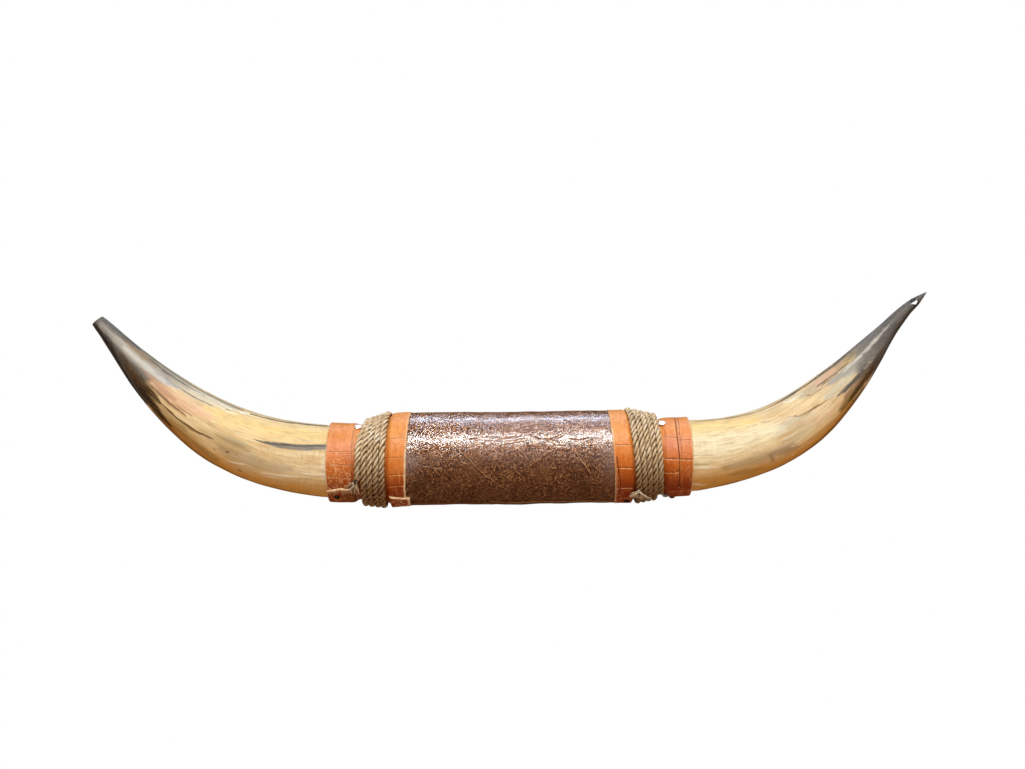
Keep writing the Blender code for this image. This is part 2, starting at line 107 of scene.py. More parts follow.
# The lashing's detail: its step in degrees, a strand's sides, the rope's own radius in mm, the
# number of loose hairs, and the points along a frayed yarn
ROPE_STEP = 1.2
ROPE_SIDES = 12
ROPE_REACH = 3.3
HAIRS = 2600
FRAY_STEPS = 8

# The horn's grain: its scale along the horn, the radius that it is drawn round, and how much
# shorter its flecks are
GRAIN = 0.04
GRAIN_RADIUS = 0.042
FLECK = 4.0

# Seeds of the shared noise and of the random draws
NOISE_SEED = 5
WRAP_SEED = 11
HAIR_SEED = 21
FRAY_SEED = 31

# A skin's rows along it, and the degrees between its columns in front and behind. The horn's
# columns are given as (first angle, end, step).
HORN_ROWS = 250
HORN_ROW_POWER = 0.97
HORN_FRONT = (-100, 104, 0.80)
HORN_BACK = (104.6, 258.5, 3.0)
WRAP_ROWS = 284
WRAP_STEPS = (0.92, 2.4)
CUFF_STEPS = (0.62, 2.0)

# Where a leather's wide columns begin, and how far before the lap's edge they end, in degrees
BACK_FROM = 112
LAP_UNDER = 24

# How far each horn's drawn tip bends in from its spine, as (s where it starts, x, y, z) in mm
TIP_BEND = {"left": (0.480, 2.4, 0.0, -1.4), "right": (0.525, -5.0, 0.0, -3.8)}

# How much a drawn horn is slimmed below, towards its tip, in mm
TIP_SLIM = {"left": 1.3, "right": 1.6}

# Per side: which way it points, the spine's rise in degrees, the tilt of the leather's sections,
# the horn's radius, the cuff's cone and end, the laps as (s, angle) and the rope's winding
RIGHT = {
    "name": "right",
    "way": 1,
    "rise": (
        (0.0, 0.0), (0.110, 0.0), (0.145, -1.0), (0.172, -2.5), (0.195, 0.0), (0.220, 4.5), (0.270, 12.5),
        (0.320, 24.5), (0.365, 37.0), (0.410, 45.0), (0.455, 51.0), (0.500, 52.0), (0.525, 49.0),
        (0.550, 43.0), (0.570, 40.0),
    ),
    "tilt": ((0.0, 0.0), (0.070, 0.0), (0.1215, 3.4), (0.145, 3.4), (0.180, 1.5), (0.2125, 0.5)),
    "radius": (
        (0.170, 0.0408), (0.179, 0.0400), (0.195, 0.0412), (0.220, 0.0423), (0.265, 0.0395),
        (0.315, 0.0368), (0.362, 0.0335), (0.410, 0.0280), (0.456, 0.0205), (0.502, 0.0117),
        (0.525, 0.0088), (0.548, 0.0056), (0.560, 0.0030), (0.570, 0.0005),
    ),
    "cone": (0.0512, 0.0440),
    "cuff_end": 0.2125,
    "lap": ((0.1212, -62.0), (0.142, -60.0), (0.180, -58.0), (0.2125, -55.0)),
    "lap_height": 0.0012,
    "over_wrap": 0.0,
    "rope": {"start": 0.1451, "pitch": 0.00678, "first": 120, "last": -1500, "fullness": 1.06},
    "gather": 0.0,
}
LEFT = {
    "name": "left",
    "way": -1,
    "rise": (
        (0.0, 0.0), (0.110, 0.0), (0.140, -5.0), (0.175, -2.0), (0.222, 6.0), (0.270, 12.0),
        (0.320, 22.5), (0.365, 32.5), (0.410, 40.0), (0.460, 48.0), (0.506, 52.0), (0.552, 51.0),
    ),
    "tilt": ((0.0, 0.0), (0.070, 0.0), (0.1215, 2.9), (0.145, 1.0), (0.180, 1.0), (0.214, 1.0)),
    "radius": (
        (0.170, 0.0408), (0.179, 0.0400), (0.195, 0.0418), (0.222, 0.0432), (0.270, 0.0417),
        (0.318, 0.0394), (0.366, 0.0354), (0.413, 0.0297), (0.459, 0.0227), (0.506, 0.0145),
        (0.540, 0.0095), (0.5485, 0.0078),
    ),
    "cone": (0.0512, 0.0446),
    "cuff_end": 0.2140,
    "lap": (
        (0.1212, -53.0), (0.142, -47.0), (0.170, -40.0), (0.1908, -38.0), (0.1988, -36.5), (0.214, -42.0),
    ),
    "lap_height": 0.0022,
    "over_wrap": 0.0046,
    "rope": {"start": 0.1462, "pitch": 0.0072, "first": 120, "last": -1462, "fullness": 1.13},
    "gather": 0.0062,
}

# Tints of the horns' marks, as colours of the horn itself without light or shade, except that
# the silver marks and some steel and pearl ones paint a highlight, and the amber also stands in
# for light glowing through the horn
TINTS = {
    "amber": (226, 168, 86), "umber": (84, 57, 28), "soot": (92, 91, 92), "pitch": (36, 37, 43),
    "coal": (128, 126, 123), "tan": (112, 78, 48), "slate": (100, 95, 90), "smoke": (140, 134, 122),
    "drab": (82, 68, 50), "silver": (214, 213, 207), "pearl": (172, 170, 162), "steel": (186, 188, 194),
    "ash": (176, 166, 148), "chalk": (226, 218, 196), "bark": (150, 118, 86), "taupe": (172, 142, 114),
    "olive": (140, 112, 60), "moss": (160, 144, 108), "mist": (212, 216, 204), "sage": (188, 186, 154),
    "peach": (240, 196, 160), "rose": (196, 152, 124), "butter": (255, 222, 146),
    "cream": (255, 246, 210), "flake": (252, 244, 224), "rust": (92, 42, 22),
}

# Marks on the horns, painted in this order: the tint, the edge's softness and the strength, each
# from 0 to 1, and a stroke through (s, angle, half width in mm)
HORN_MARKS = {
    "left": (
        ("cream", 1.0, 0.30, ((0.230, -12, 7), (0.27, -18, 9), (0.31, -22, 8))),
        ("butter", 1.0, 0.55, ((0.215, 50, 12), (0.27, 48, 13), (0.33, 42, 12), (0.375, 38, 9))),
        # Amber horn colour of the lower side, which also stands in for light glowing through the horn
        ("amber", 1.0, 0.95, ((0.212, -71, 20), (0.26, -72, 21), (0.31, -71, 19), (0.36, -62, 15),
                              (0.40, -56, 11))),
        ("olive", 0.9, 0.40, ((0.340, -46, 4), (0.37, -40, 7), (0.395, -40, 7), (0.415, -40, 5))),
        ("umber", 0.7, 0.50, ((0.22, -73, 3), (0.30, -71, 3), (0.36, -66, 4), (0.39, -61, 5),
                              (0.42, -58, 7))),
        ("chalk", 1.0, 0.70, ((0.350, 70, 6), (0.38, 62, 9), (0.41, 58, 9), (0.43, 56, 8))),
        ("ash", 0.9, 0.70, ((0.415, 62, 5), (0.44, 62, 9), (0.46, 62, 8), (0.475, 64, 6))),
        ("peach", 1.0, 0.60, ((0.370, 24, 4), (0.40, 17, 7), (0.42, 13, 7), (0.435, 12, 5))),
        ("rose", 1.0, 0.60, ((0.415, 13, 1.5), (0.435, 12, 4), (0.450, 13, 4), (0.468, 14, 1.5))),
        ("olive", 0.9, 0.25, ((0.385, -26, 3), (0.405, -25, 4.5), (0.43, -23, 4))),
        ("coal", 0.9, 0.80, ((0.455, 6, 3), (0.475, 4, 6), (0.50, 2, 7), (0.525, 4, 6), (0.545, 6, 5))),
        ("soot", 1.0, 0.60, ((0.485, -8, 2), (0.505, -10, 5), (0.53, -10, 5))),
        ("drab", 0.8, 0.90, ((0.424, -15, 1.0), (0.44, -13, 4.0), (0.46, -12, 5.5), (0.48, -12, 6),
                              (0.495, -13, 5))),
        ("tan", 0.8, 0.90, ((0.350, -9, 0.4), (0.365, -12, 0.9), (0.378, -14.5, 1.7),
                              (0.392, -15.5, 1.2),
                              (0.410, -15, 0.8), (0.430, -13, 0.7), (0.445, -12, 0.5))),
        ("umber", 0.7, 0.95, ((0.402, -46, 2), (0.42, -41, 5), (0.44, -37, 8), (0.468, -36, 8),
                              (0.49, -38, 6))),
        ("pitch", 0.8, 0.70, ((0.430, -38, 2.5), (0.45, -34, 4.5), (0.465, -36, 3))),
        ("soot", 0.7, 0.95, ((0.44, -62, 5), (0.47, -58, 7), (0.49, -44, 7), (0.51, -34, 8),
                              (0.53, -28, 8), (0.547, -26, 6))),
        ("pitch", 0.8, 0.80, ((0.44, -66, 3), (0.48, -56, 4), (0.51, -34, 4.5), (0.535, -30, 4),
                              (0.547, -40, 3))),
        # Painted highlight along the tip: steel for its faint start, silver, then pearl towards the point
        ("steel", 0.9, 0.80, ((0.420, 42, 1.2), (0.435, 38, 2.6), (0.452, 35, 4), (0.47, 34, 3.4))),
        ("silver", 1.0, 0.95, ((0.440, 32, 1.5), (0.465, 30, 3.4), (0.485, 28, 4.0), (0.50, 25, 3.6),
                              (0.515, 22, 3.0))),
        ("pearl", 1.0, 0.95, ((0.506, 22, 2.6), (0.525, 20, 3.4), (0.540, 18, 3.6))),
        ("bark", 0.9, 0.70, ((0.462, 62, 3), (0.48, 58, 5), (0.50, 58, 4), (0.51, 58, 3))),
        ("coal", 0.8, 0.85, ((0.470, 80, 2), (0.49, 78, 3.5), (0.505, 74, 3.5))),
        ("soot", 0.7, 0.90, ((0.492, 78, 3), (0.510, 70, 4.5), (0.528, 64, 5.5), (0.547, 56, 5.0))),
        ("slate", 0.6, 0.85, ((0.390, 63, 0.5), (0.41, 62, 1.0), (0.43, 61, 1.3), (0.455, 60, 1.7),
                              (0.472, 61, 0.8))),
        ("slate", 0.6, 0.60, ((0.375, 47, 0.4), (0.40, 44, 0.9), (0.42, 43, 0.9), (0.442, 43, 0.5))),
        ("bark", 0.7, 0.90, ((0.392, -1, 0.5), (0.415, 0, 1.2), (0.435, 1, 1.2), (0.450, 2, 0.6))),
        ("bark", 0.7, 0.50, ((0.385, 8, 0.4), (0.40, 6, 0.8), (0.415, 5, 0.4))),
        ("slate", 0.7, 0.90, ((0.222, 79, 1.5), (0.245, 77, 2.2), (0.262, 77, 1.6), (0.275, 75, 2.0),
                              (0.30, 74, 1.6),
                              (0.325, 71, 1.2))),
        ("smoke", 0.9, 0.80, ((0.336, 75, 1.5), (0.35, 75, 2.4), (0.375, 76, 2.6), (0.40, 76, 2.6),
                              (0.44, 77, 2.6), (0.48, 80, 3))),
        ("flake", 0.5, 1.00, ((0.326, 71, 1.0), (0.333, 67, 2.2), (0.340, 63, 1.0))),
        ("flake", 0.5, 0.90, ((0.351, 62, 0.8), (0.360, 62, 1.5), (0.369, 65, 0.8))),
        ("flake", 0.5, 0.70, ((0.341, 55, 0.4), (0.352, 51, 0.9), (0.366, 54, 0.5))),
        ("rust", 0.6, 0.80, ((0.351, 57.5, 0.6), (0.357, 55.5, 0.6))),
        ("smoke", 0.5, 0.95, ((0.305, 18, 0.4), (0.29, 18, 1.2), (0.27, 18.5, 2.6), (0.25, 21, 3.0),
                              (0.205, 28, 3.0))),
        ("slate", 0.7, 0.95, ((0.309, 18.6, 0.4), (0.29, 20, 1.0), (0.27, 21.5, 1.5),
                              (0.25, 24, 1.5), (0.205, 31, 1.5))),
        ("moss", 1.0, 0.24, ((0.290, -12, 3), (0.318, -5, 7), (0.335, -4, 8), (0.365, -8, 3))),
        ("moss", 0.8, 0.30, ((0.305, -3, 1), (0.325, 0, 3), (0.350, 1, 1))),
        ("sage", 0.8, 0.30, ((0.300, 4, 1), (0.322, 6, 2.5), (0.345, 6, 1))),
        ("bark", 1.0, 0.30, ((0.255, -16, 3), (0.275, -18, 6), (0.30, -20, 7), (0.328, -20, 6),
                              (0.340, -18, 4))),
        ("flake", 0.6, 0.85, ((0.309, -29, 0.5), (0.318, -33, 1.3), (0.326, -35, 0.5))),
        ("peach", 0.6, 0.80, ((0.313, -33, 0.5), (0.320, -36, 1.1), (0.327, -37, 0.5))),
        ("rust", 0.6, 0.90, ((0.3310, -19.2, 0.9), (0.3325, -19.4, 0.9))),
        ("rust", 0.6, 0.80, ((0.3445, -26, 0.7), (0.3460, -26, 0.7))),
        ("rust", 0.6, 0.70, ((0.3190, -16.5, 0.5), (0.3200, -16.5, 0.5))),
        ("rust", 0.6, 0.90, ((0.3090, -46, 1.1), (0.3105, -46, 1.1))),
        ("flake", 0.6, 0.65, ((0.232, -25, 0.4), (0.255, -29, 1.1), (0.275, -32, 1.0),
                              (0.287, -33.5, 0.4))),
        ("flake", 0.6, 0.55, ((0.262, -36, 0.5), (0.275, -38, 0.9), (0.290, -38, 0.4))),
        ("flake", 0.6, 0.45, ((0.217, -18, 0.8), (0.228, -19, 0.8), (0.240, -20, 0.3))),
        ("flake", 1.0, 0.65, ((0.213, 2, 5), (0.216, -10, 5), (0.214, -22, 4))),
    ),
    "right": (
        ("cream", 1.0, 0.30, ((0.26, -26, 6), (0.30, -28, 7), (0.33, -24, 7), (0.37, -8, 7),
                              (0.39, -4, 4))),
        ("butter", 1.0, 0.65, ((0.212, 56, 11), (0.24, 56, 12), (0.27, 54, 10), (0.30, 50, 8))),
        ("cream", 1.0, 0.60, ((0.212, 14, 17), (0.25, 14, 17), (0.29, 16, 13), (0.325, 16, 8))),
        # Amber horn colour of the lower side, which also stands in for light glowing through the horn
        ("amber", 1.0, 0.95, ((0.210, -65, 22), (0.26, -65, 22), (0.30, -66, 18), (0.33, -65, 15),
                              (0.36, -58, 12),
                              (0.39, -53, 7.5), (0.405, -50, 7))),
        ("umber", 0.6, 0.55, ((0.22, -73, 2.5), (0.28, -73, 2.5), (0.33, -69, 3), (0.37, -62, 3.5),
                              (0.40, -58, 4.5), (0.43, -56, 5))),
        ("olive", 1.0, 0.28, ((0.254, -40, 2), (0.270, -44, 5), (0.290, -48, 2))),
        ("bark", 1.0, 0.35, ((0.250, -24, 4), (0.29, -24, 6), (0.33, -24, 4))),
        ("peach", 1.0, 0.25, ((0.350, 0, 5), (0.37, -12, 7), (0.39, -14, 7), (0.412, -14, 4))),
        ("ash", 1.0, 0.40, ((0.372, 52, 4), (0.400, 50, 9), (0.425, 52, 8))),
        ("peach", 1.0, 0.65, ((0.398, 58, 4), (0.418, 58, 5), (0.434, 56, 4))),
        ("mist", 1.0, 0.24, ((0.318, 8, 2), (0.337, 12, 7), (0.349, 8, 7), (0.370, 4, 2))),
        ("mist", 0.8, 0.30, ((0.324, 16, 1), (0.340, 18, 3), (0.356, 14, 1))),
        ("sage", 1.0, 0.20, ((0.322, -10, 2), (0.344, -10, 6), (0.366, -8, 2))),
        ("taupe", 1.0, 0.55, ((0.305, -24, 2), (0.321, -30, 5), (0.334, -36, 2))),
        ("bark", 1.0, 0.60, ((0.3025, -24, 1.3), (0.303, -38, 1.8))),
        ("olive", 0.9, 0.80, ((0.396, -34, 3), (0.41, -32, 5.5), (0.425, -30, 4))),
        ("mist", 1.0, 0.45, ((0.392, 14, 3), (0.408, 11, 6), (0.422, 11, 6), (0.44, 12, 3))),
        ("pearl", 1.0, 0.90, ((0.405, 34, 1.2), (0.42, 32, 3), (0.435, 26, 5), (0.445, 18, 5),
                              (0.455, 14, 3))),
        ("taupe", 0.9, 0.70, ((0.410, -17, 2.5), (0.43, -17, 4.5), (0.447, -18, 4))),
        ("coal", 1.0, 0.90, ((0.436, -10, 3), (0.455, 2, 9), (0.48, 6, 10))),
        ("slate", 0.8, 0.95, ((0.402, -1, 0.6), (0.415, -4, 1.8), (0.43, -6, 2.2), (0.452, -8, 2.2))),
        ("umber", 0.7, 0.85, ((0.408, -34, 1), (0.424, -33, 3.5), (0.44, -33, 5.5), (0.46, -34, 6),
                              (0.475, -36, 5))),
        ("moss", 0.9, 0.45, ((0.432, 60, 5), (0.445, 60, 7), (0.460, 60, 4))),
        ("soot", 1.0, 0.70, ((0.484, 20, 8), (0.51, 16, 11), (0.54, 10, 12), (0.566, 8, 12))),
        ("soot", 0.8, 0.85, ((0.462, -38, 4), (0.49, -40, 6), (0.51, -36, 7), (0.54, -28, 7))),
        # Painted highlight along the tip: the silver strokes and the pearl one beside them
        ("silver", 1.0, 0.75, ((0.432, 33, 0.8), (0.445, 30, 1.4), (0.456, 28, 1.4))),
        ("silver", 1.0, 0.80, ((0.446, 29, 0.6), (0.468, 29, 1.4), (0.482, 29, 1.5), (0.505, 28, 0.4))),
        ("silver", 0.8, 0.70, ((0.462, 23, 0.4), (0.472, 24, 0.7), (0.486, 25, 0.4))),
        ("pearl", 0.8, 0.80, ((0.488, 30, 0.5), (0.500, 30, 0.8), (0.512, 30, 0.4))),
        ("pitch", 0.8, 0.45, ((0.455, -60, 2.5), (0.49, -56, 3.2), (0.515, -42, 3.2),
                              (0.535, -36, 3.2), (0.552, -30, 2.4))),
        ("soot", 0.9, 0.45, ((0.505, 66, 4), (0.530, 60, 5), (0.545, 56, 5), (0.563, 40, 6))),
        ("coal", 1.0, 0.45, ((0.515, 26, 2), (0.525, 24, 3), (0.536, 22, 2))),
        ("bark", 0.7, 0.75, ((0.225, 77, 0.8), (0.238, 76, 1.6), (0.255, 77, 0.8), (0.27, 77, 1.8),
                              (0.30, 74, 1.2), (0.342, 73, 1.0))),
        ("soot", 0.6, 0.80, ((0.341, 74, 1.2), (0.352, 75, 2.4), (0.365, 77, 3.4), (0.376, 79, 2.2))),
        ("slate", 0.8, 0.75, ((0.378, 78, 2), (0.41, 77, 2.8), (0.435, 76, 3.0), (0.455, 76, 2.4))),
        ("flake", 0.9, 0.70, ((0.348, 61, 1.0), (0.358, 58, 2.4), (0.368, 58, 1.8), (0.377, 56, 0.8))),
        ("bark", 0.7, 0.60, ((0.343, 26, 0.4), (0.352, 18, 1.0), (0.364, 14, 1.3), (0.376, 12, 1.0),
                              (0.392, 9, 0.5))),
        ("bark", 0.6, 0.80, ((0.3782, 45, 0.5), (0.384, 39, 0.8), (0.396, 37, 0.4))),
        ("umber", 0.7, 0.75, ((0.394, 48, 0.4), (0.405, 47, 0.9), (0.416, 46, 0.9), (0.426, 45, 0.5),
                              (0.442, 42, 0.4))),
        ("bark", 0.7, 0.80, ((0.400, 42, 0.4), (0.412, 41, 0.7), (0.424, 40, 0.4))),
        ("rust", 0.6, 0.80, ((0.2955, 37, 0.7), (0.2970, 38.5, 0.8))),
        ("rust", 0.6, 0.70, ((0.3005, 38.8, 0.6), (0.3020, 38.5, 0.6))),
        ("bark", 0.7, 0.60, ((0.3062, 39, 0.4), (0.311, 38, 0.7), (0.318, 35, 0.3))),
        ("flake", 0.6, 0.70, ((0.318, -6, 0.4), (0.328, -8, 0.8), (0.340, -6, 0.4))),
        ("flake", 0.6, 0.90, ((0.3275, -28, 0.7), (0.3300, -29, 0.7))),
        ("flake", 0.6, 0.80, ((0.3255, -48, 0.7), (0.3275, -49, 0.6))),
        ("flake", 0.7, 0.65, ((0.212, -14, 0.9), (0.226, -17, 1.1), (0.240, -20, 0.4))),
        ("flake", 0.7, 0.55, ((0.213, -48, 1.2), (0.219, -52, 1.6), (0.226, -54, 0.6))),
        ("moss", 0.7, 0.55, ((0.212, -9, 0.6), (0.224, -12, 0.8), (0.236, -12, 0.3))),
        ("moss", 0.7, 0.35, ((0.212, 4, 0.5), (0.225, 3, 0.7), (0.238, 3, 0.3))),
        ("chalk", 0.6, 0.60, ((0.4485, -4, 0.5), (0.4520, -10, 0.5))),
        ("chalk", 0.6, 0.55, ((0.4530, -6, 0.5), (0.4560, -12, 0.5))),
        ("chalk", 0.6, 0.55, ((0.4580, -5, 0.5), (0.4620, -13, 0.5))),
        ("chalk", 0.6, 0.50, ((0.4650, -6, 0.5), (0.4680, -12, 0.4))),
        ("pearl", 0.6, 0.60, ((0.4990, 40, 0.5), (0.5010, 36, 0.5))),
        ("pearl", 0.6, 0.60, ((0.5120, 46, 0.5), (0.5135, 40, 0.5))),
        ("pearl", 0.6, 0.55, ((0.4900, -22, 0.4), (0.4940, -32, 0.4))),
    ),
}

# Where each horn's tip turns grey, as (angle, s), over what length, and to what tint
TIP_ONSET = {
    "left": (
        (-180, 0.425), (-90, 0.430), (-55, 0.432), (-30, 0.440), (0, 0.450), (30, 0.425), (60, 0.408),
        (90, 0.405), (180, 0.425),
    ),
    "right": (
        (-180, 0.430), (-90, 0.430), (-45, 0.436), (-20, 0.434), (0, 0.436), (30, 0.426), (60, 0.436),
        (90, 0.430), (180, 0.430),
    ),
}
TIP_FADE = {"left": 0.045, "right": 0.040}
TIP_TINT = {"left": "ash", "right": "coal"}

# The open chip in the right tip: its outline as (along the tip, across it), then its place
CHIP_OUTLINE = ((-0.0002, -0.0030), (0.0033, -0.0021), (0.0047, 0.0005), (-0.0046, 0.0023))
CHIP_PLACE = 0.5500
CHIP_SHIFT = (-0.0030, 0.0, -0.0024)
CHIP_CUT = 0.030
CHIP_REACH = 0.0062
CHIP_TURN = 19.0

# A horn tip's end face, as rings of (share of its outline, how far it stands out)
TIP_CAP = ((0.955, 0.0004), (0.86, 0.0005), (0.55, 0.00035), (0.25, 0.0002))

# Grooves pressed into the cuffs, as strokes of (s, angle) with a half width and a depth in mm
CUFF_GROOVES = {
    "left": (
        (((0.1225, 29.5), (0.1405, 29)), 0.45, 0.35),
        (((0.1225, 5.5), (0.131, 4.5), (0.1405, 5.5)), 0.40, 0.35),
        (((0.1235, 3.0), (0.1405, 2.5)), 0.35, 0.2),
        (((0.1222, -16.5), (0.132, -16), (0.1405, -15.5)), 0.45, 0.45),
        (((0.1225, -32), (0.1405, -31.5)), 0.40, 0.3),
        (((0.1225, 62), (0.1405, 61)), 0.40, 0.25),
        (((0.1830, 19), (0.198, 18), (0.2125, 17)), 0.40, 0.35),
        (((0.184, 15.5), (0.197, 15.5)), 0.35, 0.25),
        (((0.1830, -1.5), (0.194, -0.5), (0.204, 0.5), (0.2125, -1)), 0.40, 0.35),
        (((0.1830, -20), (0.199, -19), (0.2125, -18)), 0.40, 0.3),
        (((0.1845, 64), (0.1850, 37), (0.1846, 5), (0.1842, -35)), 0.50, 0.35),
        (((0.1822, 60), (0.1832, 30), (0.1826, 0), (0.1822, -30)), 0.40, 0.25),
        (((0.1960, -4), (0.1975, -12), (0.1965, -20), (0.198, -34)), 0.35, 0.2),
    ),
    "right": (
        (((0.1225, 17), (0.131, 16), (0.1405, 17)), 0.45, 0.45),
        (((0.1222, -11), (0.1405, -11.5)), 0.50, 0.55),
        (((0.1222, -40), (0.1405, -39)), 0.45, 0.4),
        (((0.1225, 48), (0.1405, 47)), 0.40, 0.3),
        (((0.1225, 78), (0.1405, 77)), 0.40, 0.3),
        (((0.1233, 2), (0.1245, -16), (0.1262, -33), (0.1250, -52)), 0.60, 0.8),
        (((0.1995, 108), (0.1975, 70), (0.1958, 33), (0.1970, 1), (0.1973, -46)), 0.60, 0.7),
        (((0.2028, 108), (0.2010, 70), (0.1992, 33), (0.2003, 4)), 0.40, 0.4),
        (((0.1805, 33), (0.1955, 31)), 0.45, 0.45),
        (((0.1965, 27.5), (0.2120, 27)), 0.45, 0.45),
        (((0.1805, 0.5), (0.197, -0.5), (0.2122, -1.5)), 0.50, 0.6),
        (((0.1805, -20), (0.190, -20), (0.1950, -19.5)), 0.45, 0.5),
        (((0.1950, -19.5), (0.1966, -15)), 0.45, 0.5),
        (((0.1805, 62), (0.197, 60)), 0.40, 0.3),
    ),
}

# The angles of the plainer grooves behind, with their half width and depth in mm
BACK_GROOVES = (100, 124, 146, 168, 190, 213, 236, 258)
BACK_GROOVE = (0.45, 0.35)

# How a cuff's rim turns in to the horn, as (forward, share of the gap), and how its band's edge
# comes out again, as (back, how far it is still in)
RIM_CURL = ((0.0006, 0.10), (0.0009, 0.35), (0.0009, 0.7), (0.0006, 1.0))
BAND_LIP = ((0.0006, 0.8), (0.0008, 0.3))

# Lines tooled into the wrap, as (x in mm, angle) along each, and how high the lip beside each is
TOOLED = (
    (((-63.2, 16.5), (-46.0, -0.5), (-27.5, -20.5)), 1.0),
    (((-60.6, 18.0), (-43.4, 1.0), (-25.0, -19.0)), 0.6),
    (((-85.5, 12.5), (-72.2, -1.5)), 0.9),
    (((-72.2, -1.5), (-64.5, 4.5), (-56.5, 9.0)), 1.0),
    (((-91.5, -6.5), (-80.0, -20.0)), 0.8),
    (((-10.0, 20.0), (0.0, 21.0), (12.0, 23.5), (24.8, 26.0)), 1.6),
    (((38.5, 31.0), (45.5, 24.0), (53.5, 18.5), (62.2, 18.0), (71.0, 26.5)), 1.6),
    (((86.3, 18.5), (92.0, 17.0), (98.0, 18.0)), 1.3),
    (((37.0, 3.5), (44.0, 8.0), (50.5, 12.0)), 1.0),
    (((73.8, 12.5), (77.5, 5.0), (85.5, -6.0), (94.2, -21.0)), 1.1),
    (((69.0, 2.0), (75.2, 3.0), (84.8, -5.5), (92.0, -17.0)), 1.1),
    (((5.5, 13.5), (11.8, 6.0), (17.8, -1.5)), 0.9),
    (((8.5, 15.5), (14.5, 8.0), (20.5, 0.5)), 0.6),
    (((95.2, -7.5), (101.2, -14.0), (106.2, -19.0)), 0.9),
    (((21.2, -9.0), (25.5, -5.0), (30.0, -1.5), (35.5, 0.0)), 1.4),
    (((51.3, -21.5), (53.2, -26.5), (56.8, -30.0), (66.5, -35.0)), 0.9),
    (((93.0, -31.0), (103.0, -31.0), (108.8, -26.0), (114.0, -21.5)), 0.9),
    (((69.5, -45.0), (76.5, -46.5), (84.2, -47.5)), 1.2),
    (((-109.5, -2.5), (-98.0, -5.5), (-86.5, -8.0), (-77.5, -8.0)), -1.2),
    (((41.5, -3.0), (45.0, -8.0), (49.8, -10.5), (57.8, -10.5)), 0.9),
    (((-49.5, -0.5), (-40.5, -7.0), (-34.8, -12.0), (-28.0, -19.5)), 0.7),
    (((-35.0, -22.0), (-25.8, -21.0), (-17.8, -28.0), (-12.0, -34.0)), 0.8),
    (((-63.5, -2.0), (-55.5, -2.0), (-48.5, -5.5)), 0.7),
)

# Dents in the wrap, as strokes of (x, arc, half width) with a depth, all in mm
WRAP_DENTS = (
    (((-46, 24, 1.0), (-30, 26, 2.2), (-8, 24, 2.6), (14, 27, 2.0)), 0.7),
    (((22, 30, 0.8), (34, 23, 1.8), (48, 22, 1.8), (62, 30, 0.8)), 0.8),
    (((70, 24, 0.8), (80, 21, 1.4), (92, 24, 0.8)), 0.6),
)

# The wrap's folds as (size in mm, width, height), and how many short creases it has
FOLDS = ((5.0, 0.16, 0.24), (2.4, 0.20, 0.26))
CREASES = 520

# How far a pressed line's lip reaches, and how far apart its points are, in mm
PRESS_REACH = 3.0
PRESS_STEP = 0.8

# Frayed ends: the root as (s, angle, radius), the two directions between which the yarns fan out
# as (mm along, mm up), how many yarns and fine hairs there are, and how low they may lie
FRAYS = {
    "left": {
        "root": (0.1795, -24, 0.0500), "floor": 0.0482, "fan": ((12.0, -12.0), (-3.0, -24.0)),
        "yarns": 34, "hairs": 120, "spread": 1.5, "curl": 0.65, "pale": 0.35,
    },
    "right": {
        "root": (0.1470, -42, 0.0590), "floor": 0.0567, "fan": ((-12.0, -10.0), (14.0, -15.0)),
        "yarns": 34, "hairs": 110, "spread": 1.3, "curl": 0.50, "pale": 0.75,
    },
}

# Tacks: side, s, angle, head radius, and whether it shines
TACKS = {
    "tack_left_top": ("left", 0.1806, 67, 0.0050, True),
    "tack_left_flap": ("left", 0.2034, -53, 0.0034, False),
    "tack_right_top": ("right", 0.1812, 61, 0.0047, True),
    "tack_right_inner": ("right", 0.1335, -66, 0.0034, False),
    "tack_right_bottom": ("right", 0.1830, -70, 0.0040, True),
    "tack_right_under": ("right", 0.1925, -86, 0.0034, False),
}
TACK_DOME = 0.0020
TACK_SHANK = 0.0010
TACK_LENGTH = 0.011

# A tack's sides, and the rings of its dome
TACK_SIDES = 28
TACK_RINGS = 9

# Camera: from the spine's middle, with the photo's small roll, for an image 1025 px wide
CAMERA_OFFSET = (0.0041, -1.440, 0.0872)
CAMERA_ROLL = 0.75
FOCAL_PIXELS = 1200
IMAGE_WIDTH = 1025
SENSOR = 36.0

# The even light's colour, from straight down (0) over level (0.5) to straight up (1)
FILL = (
    (0.0, (0.46, 0.24, 0.08)), (0.40, (0.43, 0.25, 0.10)),
    (0.54, (0.38, 0.35, 0.31)), (1.0, (0.34, 0.36, 0.38)),
)

# How much of the even light shows in reflections
FILL_SHINE = 0.25

# The floor: how far below the mount it is, and over which radii it fades
FLOOR_DROP = 0.62
FLOOR_SOLID = 0.30
FLOOR_EDGE = 0.62

# Lights: name, direction, distance, size, power, colour, and the visibility that is off
LIGHTS = (
    ("key", (0.05, -0.75, 0.66), 2.3, (2.6, 0.9), 45, (1.0, 0.985, 0.96), "visible_glossy"),
    ("strip", (0.05, -0.62, 0.78), 2.3, (2.6, 0.20), 270, (1.0, 1.0, 1.0), "visible_diffuse"),
    ("overhead", (0.1, 0.36, 0.93), 2.2, (2.0, 0.34), 80, (0.68, 0.80, 1.0), "visible_diffuse"),
)


def colour(red, green, blue):
    """A colour picked as 0 to 255 display values, in linear light."""
    return tuple(((value / 255 + 0.055) / 1.055) ** 2.4 for value in (red, green, blue))


